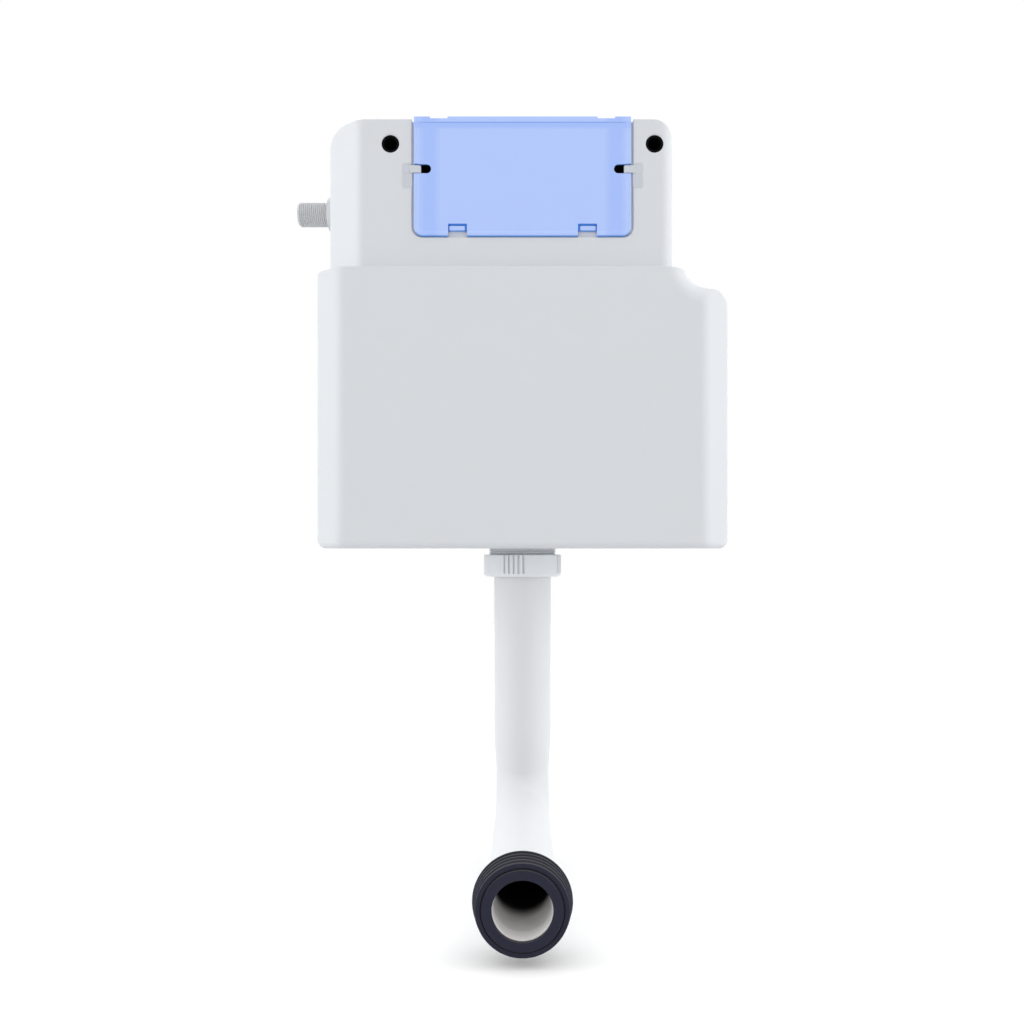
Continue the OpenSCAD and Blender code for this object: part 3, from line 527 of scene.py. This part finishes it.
def within(p, before, corner, after, r):
    """How far p lies inside an edge that comes from before, rounds the corner by an arc of radius r and
    goes on to after: its distance from the arc's centre, along the nearest of the directions that meet the
    arc, less r."""
    u, v = unit(before - corner), unit(after - corner)
    half = np.arccos(u @ v) / 2
    way = -unit(u + v)
    s = p - (corner - way * r / np.sin(half))
    turn = np.arctan2(way[0] * s[..., 1] - way[1] * s[..., 0], s @ way)
    limit = np.pi / 2 - half
    return np.linalg.norm(s, axis=-1) * np.cos(turn - np.clip(turn, -limit, limit)) - r


def lower_body(o):
    """Wide lower half, o inside the outer face: the front is flat, slopes down straight at both sides and
    rounds over by an arc along the S-shaped right shoulder."""
    f, m, r = 1 - o / FOOT_R, FLANK_D / FLANK_W, ROLL_R - o
    top, dip, end = np.array([[LEDGE_END, LEDGE_Z], [DIP_X, DIP_Z], [HALF, STEP_Z]])

    def front(p):
        """Lowest of both side slopes and of the arc along the shoulder, sqrt(r^2 - s^2), blended."""
        slope = lambda run: FRONT - FLANK_D + m * run - o * np.sqrt(1 + m * m)
        flank = soft_min(slope(HALF - p[..., 0]), slope(HALF + p[..., 0]), 2)
        s = ROLL_SHARE * np.clip(r + o - within(p, top, dip, end, DIP_R), 0, r)
        return soft_min(flank, FRONT - o - r + np.sqrt(r * r - s * s), LOWER_BLEND)

    # the inner corners of the shoulder move by other shares of o, so that its wall stays even
    side = HALF - o
    rear = outline([(-side, o, FOOT_R * f), (side, o, FOOT_R * f), (side, STEP_Z - 1.1 * o, STEP_R - o),
                    (DIP_X - 0.9 * o, DIP_Z - o, DIP_R), (LEDGE_END - 1.2 * o, LEDGE_Z - o, LIP_R * f),
                    (-side, LEDGE_Z - o, LEDGE_R * f)], ARC, LOWER_RUNS)
    return body(rear, front, o, around(LOWER_EDGES, ARC, LOWER_RUNS) * f, BACK_R * f)


def upper_body(o):
    """Narrow upper half, o inside the outer face: the front is flat, slopes down straight at the left and
    bends back along an arc at the right."""
    f, m, r = 1 - o / FOOT_R, UPPER_FLANK_D / UPPER_FLANK_W, UPPER_BEND - o
    left, right, top = UPPER_L + o, UPPER_R - o, TANK_Z[1] - o
    inset = 0.03  # keeps its back off the plane of the lower half's back

    def front(p):
        """Lower of the left slope and of the arc at the right, sqrt(r^2 - s^2), blended."""
        s = BEND_SHARE * np.clip(p[..., 0] - right + r, 0, r)
        flank = UPPER_FRONT - UPPER_FLANK_D + m * (p[..., 0] - UPPER_L) - o * np.sqrt(1 + m * m)
        return soft_min(flank, UPPER_FRONT - o - r + np.sqrt(r * r - s * s), UPPER_BLEND)

    rear = outline([(left, UPPER_LOW, HIDDEN_L), (right, UPPER_LOW, HIDDEN_R), (right, top, CROWN_R - o),
                    (left, top, CROWN_L - o)], ARC, UPPER_RUNS)
    return body(rear, front, o + inset, around(UPPER_EDGES, ARC, UPPER_RUNS) * f, BACK_R)


def fixing_hole(x):
    """Cutter for a wall fixing, with a bevel at both rims."""
    wide, front, clear = FIX_R + 2 * BEVEL_W, UPPER_FRONT, 5
    r = [0, wide, wide, FIX_R, FIX_R, wide, wide, 0]
    d = [-clear, -clear, -BEVEL_D, BEVEL_D, front - BEVEL_D, front + BEVEL_D, front + clear, front + clear]
    return turned(r, d, (x, 0, LINE), "y", 64)


def tank():
    """Both halves hollowed by the wall, with the fixings, the cover's recess and opening, the catches'
    pockets and the holes of inlet and outlet."""
    steps = [(ADD, upper_body(0)), (CUT, lower_body(WALL)), (CUT, upper_body(WALL))]
    steps += [(ADD, bar(BOSS_R, (2, UPPER_FRONT - 2), (x, 0, LINE), "y")) for x in (-FIX_X, FIX_X)]
    steps += [(CUT, fixing_hole(x)) for x in (-FIX_X, FIX_X)]
    seat = box_corners((-SEAT_X, SEAT_X), (SEAT_Z, ABOVE), SEAT_R, 1)
    mouth = box_corners((-MOUTH_X, MOUTH_X), (MOUTH_Z, ABOVE), 3, 1)
    top_seat = block((-TOP_SEAT_X, TOP_SEAT_X), (TOP_SEAT_D, FRONT), (TOP_SEAT_Z, ABOVE - 3), 0.5)
    top_mouth = block((-MOUTH_X, MOUTH_X), (TOP_MOUTH_D, UPPER_FRONT + 3), (TOP_MOUTH_Z, ABOVE - 3), 0.5)
    steps += [(CUT, lipped(seat, SEAT_D, UPPER_FRONT, SEAT_LIP)),
              (CUT, lipped(mouth, MOUTH_D, SEAT_D, 0.5)),
              (CUT, top_seat), (CUT, top_mouth)]
    for s, _ in SIDES:
        pocket = box_corners(sorted(s * x for x in POCKET_X), POCKET_Z, POCKET_R, POCKET_R)
        steps += [(CUT, lipped(pocket, POCKET_D, UPPER_FRONT, POCKET_LIP, POCKET_WIDE)),
                  (CUT, bar(PEG_R + 0.1, (CATCH_D[0] - 4, POCKET_D + 0.5), (s * PEG_X, 0, PEG_Z), "y"))]
    steps += [(CUT, bar(INLET_HOLE, INLET_CUT, (0, -INLET_D, INLET_Z), "x")),
              (CUT, bar(BORE, (-6, 6), (0, -VALVE_D, 0), "z", 72))]
    return carve(skin("tank", lower_body(0)), *steps)


def neck():
    """Outlet neck: a tube with a helical thread outside, bevelled at its lower end."""
    n, per = 144, 18
    start, bevel, root = -NECK_LENGTH + 0.4, 1.4, 2.0
    r, z = thread(start, -0.2, NECK_PITCH, NECK_R, NECK_DEPTH, 1.2, n, per)
    r = r - 1.0 * (1 - smooth_step(z, start, start + bevel))
    rows = np.concatenate([level(n, BORE, BORE, BORE + 0.6, NECK_R - 2.4), r, level(n, NECK_R)])
    h = np.concatenate([level(n, root, -NECK_LENGTH + 0.6, -NECK_LENGTH, -NECK_LENGTH), z, level(n, root)])
    return skin("neck", turned(rows, h, (0, -VALVE_D, 0), "z", n), loop=True, helix=(4, 3 + len(r), per))


piece("tank", tank(), TANK, "cistern", "tank_white", "tank_shell", angle=30)
piece("outlet_neck", neck(), TANK, "cistern", "tank_white", "tank_shell", angle=60)


# Cover

COVER_HALF, COVER_FRONT = COVER_X[1], COVER_D[1]
COVER_LOW, COVER_TOP = COVER_Z
BORDER, TOP_BORDER, BORDER_STEP = 3.1, 4.4, 0.5  # raised border at sides and foot, at the top, its height
CHANNEL_X = COVER_HALF - 14  # middle of the soft upright channel
CHANNEL_W, CHANNEL_D = 11.0, 0.5  # its half width and depth
FADE_TOP, FADE_LOW = (6, 20), (1.9, 17.9)  # where its ends run out, from the cover's top and foot
COVER_R, COVER_BACK = 8.0, COVER_FRONT - 2.7  # lower corners and the back of the plate
COVER_ARC, COVER_RUN = 9, 56
COVER_EDGES = np.array([1.4, 0.8, 0.3, 0.8])
TOP_PLATE = 2.7  # thickness of the top
SLOT_END, SLOT_R = COVER_HALF - 14.6, 3.8  # slot of the catch's arm
SLOT_Z = (COVER_LOW + 53.35, COVER_LOW + 61.05)
NOTCH_X, NOTCH_W, NOTCH_TOP = 55.0, 16.0, COVER_LOW + 10.6  # notch of the snap tongue
RIM_D = COVER_FRONT - 0.9  # face of the thick edge round it
KEY_X, KEY_W, KEY_Z = 71.0, 15.0, COVER_TOP - 2  # shallow notch in the top edge
TONGUE_X, TONGUE_W, TONGUE_LOW = NOTCH_X + 0.4, 13.4, COVER_LOW + 4.8


def cover_front(p):
    """Height of the cover: a flat border, a step down inside it and a soft upright channel near each side,
    which is the square of a cosine across and fades out towards both ends."""
    x, z = np.abs(p[..., 0]), p[..., 1]
    inner = np.minimum(np.minimum(COVER_HALF - x, z - COVER_LOW) - BORDER, COVER_TOP - z - TOP_BORDER)
    channel = np.cos(np.clip((x - CHANNEL_X) / CHANNEL_W, -1, 1) * np.pi / 2) ** 2
    fade = smooth_step(COVER_TOP - z, *FADE_TOP) * smooth_step(z - COVER_LOW, *FADE_LOW)
    return COVER_FRONT - BORDER_STEP * smooth_step(inner, 0, 1.2) - CHANNEL_D * channel * fade


def cover():
    """Plate with a top that reaches back over the tank, cut by slots, notches below and notches above."""
    across = (-COVER_HALF, COVER_HALF)
    rear = outline(box_corners(across, COVER_Z, COVER_R, 0.9), COVER_ARC, COVER_RUN)
    rows = np.append(np.linspace(0, 0.3, 66)[1:], [0.4, 0.6, 0.8, 1])
    plate = body(rear, cover_front, COVER_BACK, around(COVER_EDGES, COVER_ARC, COVER_RUN), 0.3, rows)
    top = block(across, (COVER_D[0], COVER_FRONT - 0.9), (COVER_TOP - TOP_PLATE, COVER_TOP - 0.02), 0.4)
    steps = [(ADD, top)]
    behind, face = COVER_BACK - 1.8, COVER_FRONT - 0.4
    for s, _ in SIDES:
        slot = [(s * SLOT_END, SLOT_R), (s * (COVER_HALF + 6), 0.1)][::s]
        slot = [(x, SLOT_Z[0], r) for x, r in slot] + [(x, SLOT_Z[1], r) for x, r in slot[::-1]]
        notch_x = (s * NOTCH_X - NOTCH_W / 2, s * NOTCH_X + NOTCH_W / 2)
        notch = box_corners(notch_x, (COVER_LOW - 9.1, NOTCH_TOP), 0.3, 0.6)
        key_x = (s * KEY_X - KEY_W / 2, s * KEY_X + KEY_W / 2)
        key = box_corners(key_x, (KEY_Z, COVER_TOP + 6.7), 0.3, 0.3)
        steps += [(CUT, lipped(slot, behind, face, 0.5)), (CUT, lipped(notch, behind, face, 0.4)),
                  (CUT, lipped(key, COVER_FRONT - 3.6, COVER_FRONT, 0.2))]
    return carve(skin("cover", plate), *steps)


def tongue(s):
    """Snap tongue in the lower notch: a strip behind the cover with a block at its end."""
    x = (s * TONGUE_X - TONGUE_W / 2, s * TONGUE_X + TONGUE_W / 2)
    strip = block(x, (COVER_BACK - 2.5, COVER_BACK + 0.1), (TONGUE_LOW, TONGUE_LOW + 10.8), 0.4)
    end = block(x, (COVER_BACK - 0.8, COVER_BACK + 1.6), (TONGUE_LOW, TONGUE_LOW + 4.5), 0.8)
    return carve(skin("tongue", strip), (ADD, end))


def notch_shade_rim(s):
    """Thick edge of the cover round the lower notch, in the deep blue of painted shade: a bar across the
    top and one down either side.
    """
    x = lambda a, b: sorted((s * a, s * b))
    near, far = NOTCH_X - NOTCH_W / 2, NOTCH_X + NOTCH_W / 2
    back, low, r = COVER_BACK + 0.1, TONGUE_LOW, 0.2
    across = block(x(near, far), (back, RIM_D), (NOTCH_TOP - 1, NOTCH_TOP + 0.2), r)
    inner = block(x(near - 0.1, near + 1.5), (back + 0.02, RIM_D - 0.1), (low, NOTCH_TOP), r)
    outer = block(x(far - 0.6, far + 0.1), (back + 0.04, RIM_D - 0.2), (low, NOTCH_TOP), r)
    return carve(skin("rim", across), (ADD, inner), (ADD, outer))


piece("cover", cover(), BLUE, "cover", "cover_blue", "access_cover")
for s, side in SIDES:
    piece("tongue_" + side, tongue(s), BLUE, "cover", "cover_blue", "access_cover")
    # the notch rims carry painted shade
    piece("notch_shade_rim_" + side, notch_shade_rim(s), SHADED_EDGE_BLUE, "cover", "cover_blue", "access_cover")


# Catches

PLATE_X = (COVER_X[1] + 1.4, CATCH_X[1] - 0.4)
PLATE_Z, PLATE_R = (CATCH_Z[0] + 0.7, CATCH_Z[1] - 0.9), 2.0
PLATE_D, PLATE_STEP = UPPER_FRONT - 0.9, 0.4  # face of its lower part and step up
ARM_X, ARM_Z = (CATCH_X[0], COVER_X[1] + 3.5), (CATCH_Z[1] - 8.5, CATCH_Z[1] - 2.1)
ARM_D = CATCH_D[1] - 0.4
STEP_AT = (ARM_Z[0] - 0.9, ARM_Z[0] + 0.3)  # where the step lies
TIP_W, TIP_D = 1.7, 1.1  # width and depth of the slope at the arm's end


def catch(s):
    """Bracket beside the cover: a plate with a deeper lower part, an arm whose end slopes back, a peg."""
    rows = np.linspace(0, 1, 24)[1:]
    rear = outline(box_corners(sorted(s * x for x in PLATE_X), PLATE_Z, PLATE_R, PLATE_R), ARC, 14)
    step = lambda p: PLATE_D + PLATE_STEP * smooth_step(p[..., 1], *STEP_AT)
    plate = body(rear, step, POCKET_D, np.full(len(rear), 0.2), 0.1, rows)
    rear = outline(box_corners(sorted(s * x for x in ARM_X), ARM_Z, 0.5, 0.5))
    slope = lambda p: ARM_D - TIP_D * np.clip((ARM_X[0] + TIP_W - np.abs(p[..., 0])) / TIP_W, 0, 1)
    arm = body(rear, slope, POCKET_D + 0.04, np.full(len(rear), 0.3), 0.3, rows)
    peg = bar(PEG_R, (CATCH_D[0], POCKET_D + 0.3), (s * PEG_X, 0, PEG_Z), "y")
    return carve(skin("part", plate), (ADD, arm), (ADD, peg))


for s, side in SIDES:
    piece("catch_piece_" + side, catch(s), PALE, "cistern", "pale_plastic", "catch_" + side)


# Inlet

INLET_R, INLET_PITCH, INLET_DEPTH = 10.4775, 1.814, 0.8  # half-inch pipe thread, with its crests worn soft
INLET_BORE, SPIGOT_R = 5.5, 7.5
FLANGE_R, FLANGE_X = 16.0, (LOCK_X[1] + 6, LOCK_X[1] + 9.5)  # flange inside the tank
LOCK_APOTHEM = np.round(LOCK_D[1] - INLET_D, 2)


def inlet_tail():
    """Inlet tail: a tube with a helical thread outside, a flange within the tank and a spigot behind it."""
    n, per = 120, 18
    start, stop, bevel = INLET_X[0] + 0.6, LOCK_X[0] - 0.4, 1.3
    near, far = FLANGE_X
    r, x = thread(start, stop, INLET_PITCH, INLET_R, INLET_DEPTH, 1.0, n, per)
    r = r - 1.1 * (1 - smooth_step(x, start, start + bevel))
    plain = INLET_R - 0.1975
    rows = np.concatenate([level(n, INLET_BORE, INLET_BORE, INLET_BORE + 0.5, 9), r,
                           level(n, plain, plain, FLANGE_R, FLANGE_R, FLANGE_R - 0.4, SPIGOT_R, SPIGOT_R)])
    h = np.concatenate([level(n, INLET_X[1], INLET_X[0] + 0.4, INLET_X[0], INLET_X[0]), x,
                        level(n, stop + 0.2, near, near, far - 0.4, far, far, INLET_X[1])])
    points = turned(rows, h, (0, -INLET_D, INLET_Z), "x", n)
    return skin("inlet", points, loop=True, helix=(4, 3 + len(r), per))


def hex_nut():
    """Lock nut: a hexagon, cut by a cone of 30 degrees at both faces, around the tail."""
    n, thick, hole, slope = 240, LOCK_X[1] - LOCK_X[0], INLET_R + 0.1225, 1.73
    a = np.linspace(0, TURN, n, endpoint=False)
    hexagon = LOCK_APOTHEM / np.cos((a + np.pi / 6) % (np.pi / 3) - np.pi / 6)
    bevel = np.linspace(0.05, 1.5, 12)
    x = np.concatenate([[0], bevel, np.linspace(2, thick - 2, 3), thick - bevel[::-1], [thick]])
    cone = LOCK_APOTHEM + 0.04 + slope * np.minimum(x, thick - x)
    r = np.minimum(hexagon, cone[:, None])
    rows = np.concatenate([level(n, hole, hole + 0.6), r, level(n, hole + 0.6, hole)])
    h = LOCK_X[0] + np.concatenate([[0.6, 0], x, [thick, thick - 0.6]])
    return skin("nut", turned(rows, h, (0, -INLET_D, INLET_Z), "x", n), loop=True)


piece("inlet_tail", inlet_tail(), GREY, "cistern", "grey_plastic", "inlet_shank", angle=60)
piece("lock_nut", hex_nut(), TANK, "cistern", "pale_plastic", "inlet_nut", angle=24)


# Flush pipe

PIPE_TOP, PIPE_END = PIPE_Z[1], PIPE_D[1]
PIPE_R, LEG_R = 25.5, 23.75  # outside above and below the taper
PIPE_BORE, LEG_BORE = 22.5, 19.5
TAPER_Z = (LEG_Z + 34.6, LEG_Z + 68.6)
BEND_R = 36.7
COLLAR_R, COLLAR_T = PIPE_X[1], 2.5  # flange at the top
GRIP_R, GRIP_HOLE, GRIP_BORE = GRIP_X[1], 26.0, 30.1  # coupling nut: outside, hole below, bore
GRIP_TOP_R, GRIP_LOW_R, GRIP_FLOOR = 0.6, 3.0, PIPE_TOP - COLLAR_T  # its rounded rims, floor of its bore
GROOVE_STEP, GROOVE_D, GROOVE_TURN = 7.1, 2.0, 12.9  # grooves: degrees apart, depth, turn of the patches
PATCHES, PATCH_GROOVES = 4, 5  # patches round the nut, and grooves in each
GROOVE_FLANK = (0.95, 0.45)  # from a groove's middle: where its flank starts and where its floor does
FIN_N, FIN_PITCH, FIN_STEP = 4, 3.9, 0.6  # connector's fins, their distance, and how much each is lower
FIN_ROOT, FIN_FIRST = 29.2, CONNECTOR_D[0] + 16.4
SLEEVE_R, SLEEVE_BORE, MOUTH_R = 27.05, 23.85, 19.9  # its sleeve, inside of that, and mouth
COLLAR_D, RING_D = CONNECTOR_D[1] - 1.4, CONNECTOR_D[1] - 3  # faces of its collar and ring
RING_R, GAP_R = 30.8, (27.45, 26.55)  # its ring, and the narrow gap between ring and collar


def flush_pipe():
    """Pipe swept down, round a quarter bend and forward: the ring at each station lies across the path and
    narrows smoothly before the bend. A flange sits at the top; the bore follows."""
    fl = PIPE_TOP - COLLAR_T
    corner = LEG_Z + BEND_R
    rim_rows = np.array([0, 0.2, COLLAR_T - 0.4, COLLAR_T - 0.1, COLLAR_T, COLLAR_T + 0.05])
    down = np.concatenate([PIPE_TOP - rim_rows, np.linspace(fl - 1, TAPER_Z[1] - 1, 12),
                           np.linspace(TAPER_Z[1] - 3, corner + 0.1, 14)])
    bend = np.radians(np.linspace(0, 90, 28))
    end_rows = PIPE_END - np.array([0.6, 0.1, 0])
    leg = np.append(np.linspace(VALVE_D + BEND_R + 0.3, PIPE_END - 2, 14), end_rows)
    y = np.concatenate([0 * down - VALVE_D, -VALVE_D - BEND_R * (1 - np.cos(bend)), -leg])
    z = np.concatenate([down, corner - BEND_R * np.sin(bend), 0 * leg + LEG_Z])
    turn = np.concatenate([0 * down, bend, 0 * leg + np.pi / 2])
    wide = smooth_step(z, *TAPER_Z)
    flange, rim = z > fl - 0.02, (z > PIPE_TOP - 0.05) | (z < fl + 0.2)
    r = np.where(flange, COLLAR_R - 0.4 * rim, PIPE_R - (PIPE_R - LEG_R) * (1 - wide))
    r[-2:] -= [0.15, 0.5]
    bore = PIPE_BORE - (PIPE_BORE - LEG_BORE) * (1 - wide)
    a = np.linspace(0, TURN, 112, endpoint=False)
    ring = lambda q: np.stack([q[:, None] * np.cos(a), y[:, None] + (q * np.cos(turn))[:, None] * np.sin(a),
                               z[:, None] - (q * np.sin(turn))[:, None] * np.sin(a)], -1)
    return skin("pipe", np.concatenate([ring(r), ring(bore)[::-1]]), loop=True)


def grip_nut():
    """Coupling nut: turned section with rounded rims; patches of grooves, whose depth falls smoothly from
    full within their floor to 0 where their flank starts."""
    n = 1440
    a = np.linspace(0, 360, n, endpoint=False)
    high, low = np.radians(np.linspace(90, 0, 5))[1:], np.radians(np.linspace(0, 90, 9))[1:]
    shoulder, heel = GRIP_R - GRIP_TOP_R, GRIP_R - GRIP_LOW_R
    r = np.concatenate([[GRIP_BORE, shoulder], shoulder + GRIP_TOP_R * np.cos(high), np.full(24, GRIP_R),
                        heel + GRIP_LOW_R * np.cos(low), [GRIP_HOLE, GRIP_HOLE, GRIP_BORE]])
    z = np.concatenate([[GRIP_Z[1], GRIP_Z[1]], GRIP_Z[1] - GRIP_TOP_R * (1 - np.sin(high)),
                        np.linspace(GRIP_Z[1] - 1, GRIP_Z[0] + GRIP_LOW_R + 0.1, 24),
                        GRIP_Z[0] + GRIP_LOW_R * (1 - np.sin(low)), [GRIP_Z[0], GRIP_FLOOR, GRIP_FLOOR]])
    patch, most = 360 / PATCHES, PATCH_GROOVES // 2
    off = (a + GROOVE_TURN + patch / 2) % patch - patch / 2
    near = off - GROOVE_STEP * np.clip(np.round(off / GROOVE_STEP), -most, most)
    groove = GROOVE_D * smooth_step(np.abs(np.radians(near)) * GRIP_R, *GROOVE_FLANK)
    reach = np.where(r > GRIP_R - 1.3, smooth_step(z, GRIP_Z[0] + 3.2, GRIP_Z[0] + 3.9), 0)
    points = turned(r[:, None] - reach[:, None] * groove, z, (0, -VALVE_D, 0), "z", n)
    return skin("grip", points, loop=True)


def connector():
    """Rubber pan connector: a turned section with fins that lean back, a front ring and a raised collar."""
    back, front = CONNECTOR_D
    fins = []
    for k in range(FIN_N):
        tip, d = CONNECTOR_X[1] - FIN_STEP * k, FIN_FIRST + FIN_PITCH * k
        fins += [(tip, d, 0.3), (tip, d + 1.2, 0.5), (FIN_ROOT, d + 2.4, 0.4), (FIN_ROOT, d + 3.3, 0.3)]
    sleeve = [(SLEEVE_BORE, back, 0.2), (SLEEVE_R, back, 0.8), (SLEEVE_R, FIN_FIRST - 3, 1.5)]
    ring = [(RING_R, RING_D, 0.4), (RING_R, COLLAR_D, 0.7), (GAP_R[0], COLLAR_D, 0.25),
            (GAP_R[0], RING_D + 0.4, 0.2), (GAP_R[1], RING_D + 0.4, 0.2), (GAP_R[1], front, 0.4)]
    mouth = [(MOUTH_R, front, 0.5), (MOUTH_R, PIPE_END + 0.3, 0.3), (SLEEVE_BORE, PIPE_END + 0.3, 0.2)]
    p = outline(sleeve + fins + ring + mouth, 5, 1)
    return skin("connector", turned(p[:, 0], p[:, 1], (0, 0, LEG_Z), "y", 144), loop=True)


piece("pipe", flush_pipe(), PIPE, "cistern", "pipe_white", "flush_pipe", angle=50)
piece("grip_nut", grip_nut(), NUT, "cistern", "pipe_white", "coupling_nut", angle=50)
piece("connector", connector(), RUBBER, "cistern", "black_rubber", "pan_connector", angle=60)


# Inner pieces keep their own meshes

for part in frame["record"]["subparts"]:
    o = frame["nodes"][part["node"]]
    o.data.materials.clear()
    o.data.materials.append(SLOT_FINISH[part["material_slot"]])


# Room, light and camera

FLOOR_Z, FLOOR_X, FLOOR_BACK = CONNECTOR_Z[0] - 5, 4000.0, 2500.0
LEVEL, RING, RING_POWER, RING_FADE = 0.956, 4.49, 16.0, 0.9  # even brightness, the ring's, its focus, fade
PICTURE = 1024  # pixels across
LENS, SENSOR = 33.2, 36.0  # focal length and sensor width
SHIFT_X, SHIFT_Y = -10.5, 38.0  # shift of the lens in pixels
CAMERA_D, CAMERA_Z = 915.0, -1.4  # place of the camera


def shown(tree):
    """1 for rays that show the background: from the camera, mirrored or through glass."""
    path = tree.nodes.new("ShaderNodeLightPath")
    mirrored = maths(tree, "MAXIMUM", path.outputs["Is Glossy Ray"], path.outputs["Is Transmission Ray"])
    return maths(tree, "MAXIMUM", path.outputs["Is Camera Ray"], mirrored)


def room():
    """Pale floor under the connector, brighter to the camera than to the object."""
    rows = [[(-FLOOR_X, y, FLOOR_Z), (FLOOR_X, y, FLOOR_Z)] for y in (FLOOR_BACK, -FLOOR_X)]
    me = skin("floor", np.array(rows), ring=False)
    o = bpy.data.objects.new("floor", me)
    bpy.context.scene.collection.objects.link(o)
    paint = finish("floor_paint", srgb(250, 250, 250), rough=0.8, drift=0.01, shine=0.0)
    t = paint.node_tree
    mix, base = t.nodes.new("ShaderNodeMix"), t.nodes["Principled BSDF"]
    mix.data_type = "RGBA"
    mix.inputs[6].default_value = srgb(215, 215, 215)
    t.links.new(shown(t), mix.inputs[0])
    t.links.new(base.inputs["Base Color"].links[0].from_socket, mix.inputs[7])
    t.links.new(mix.outputs[2], base.inputs["Base Color"])
    me.materials.append(paint)


def daylight():
    """White surroundings: an even brightness and a narrow bright ring about the line of sight, by a high
    power of 1 - y^2, which fades upward; plain white to the camera."""
    w = bpy.data.worlds.new("studio")
    bpy.context.scene.world = w
    w.use_nodes = True
    t = w.node_tree
    n, link = t.nodes, t.links.new
    light, seen, mix = n["Background"], n.new("ShaderNodeBackground"), n.new("ShaderNodeMixShader")
    _, y, z = apart(t, "ShaderNodeTexCoord", "Generated")
    across = maths(t, "SUBTRACT", 1.0, maths(t, "MULTIPLY", y, y))
    fade = maths(t, "SUBTRACT", 1.0, maths(t, "MULTIPLY", z, RING_FADE))
    ring = maths(t, "MULTIPLY", maths(t, "POWER", across, RING_POWER), fade)
    link(maths(t, "ADD", LEVEL, maths(t, "MULTIPLY", ring, RING)), light.inputs["Strength"])
    light.inputs["Color"].default_value = (1, 1, 1, 1)
    seen.inputs["Color"].default_value = (1, 1, 1, 1)
    link(shown(t), mix.inputs[0])
    link(light.outputs[0], mix.inputs[1])
    link(seen.outputs[0], mix.inputs[2])
    link(mix.outputs[0], n["World Output"].inputs["Surface"])


def camera():
    """Level camera in front of the tank's middle, low by its underside; shifted lens frames the object."""
    c = bpy.data.cameras.new("camera")
    c.lens, c.sensor_width = LENS, SENSOR
    c.shift_x, c.shift_y = SHIFT_X / PICTURE, SHIFT_Y / PICTURE
    c.clip_start, c.clip_end = 0.05, 50
    o = bpy.data.objects.new("camera", c)
    o.location = (0, -CAMERA_D / 1000, (CAMERA_Z - LINE) / 1000)
    o.rotation_euler = (np.pi / 2, 0, 0)
    bpy.context.scene.collection.objects.link(o)
    bpy.context.scene.camera = o


room()
daylight()
camera()
bpy.context.scene.view_settings.view_transform = "Standard"
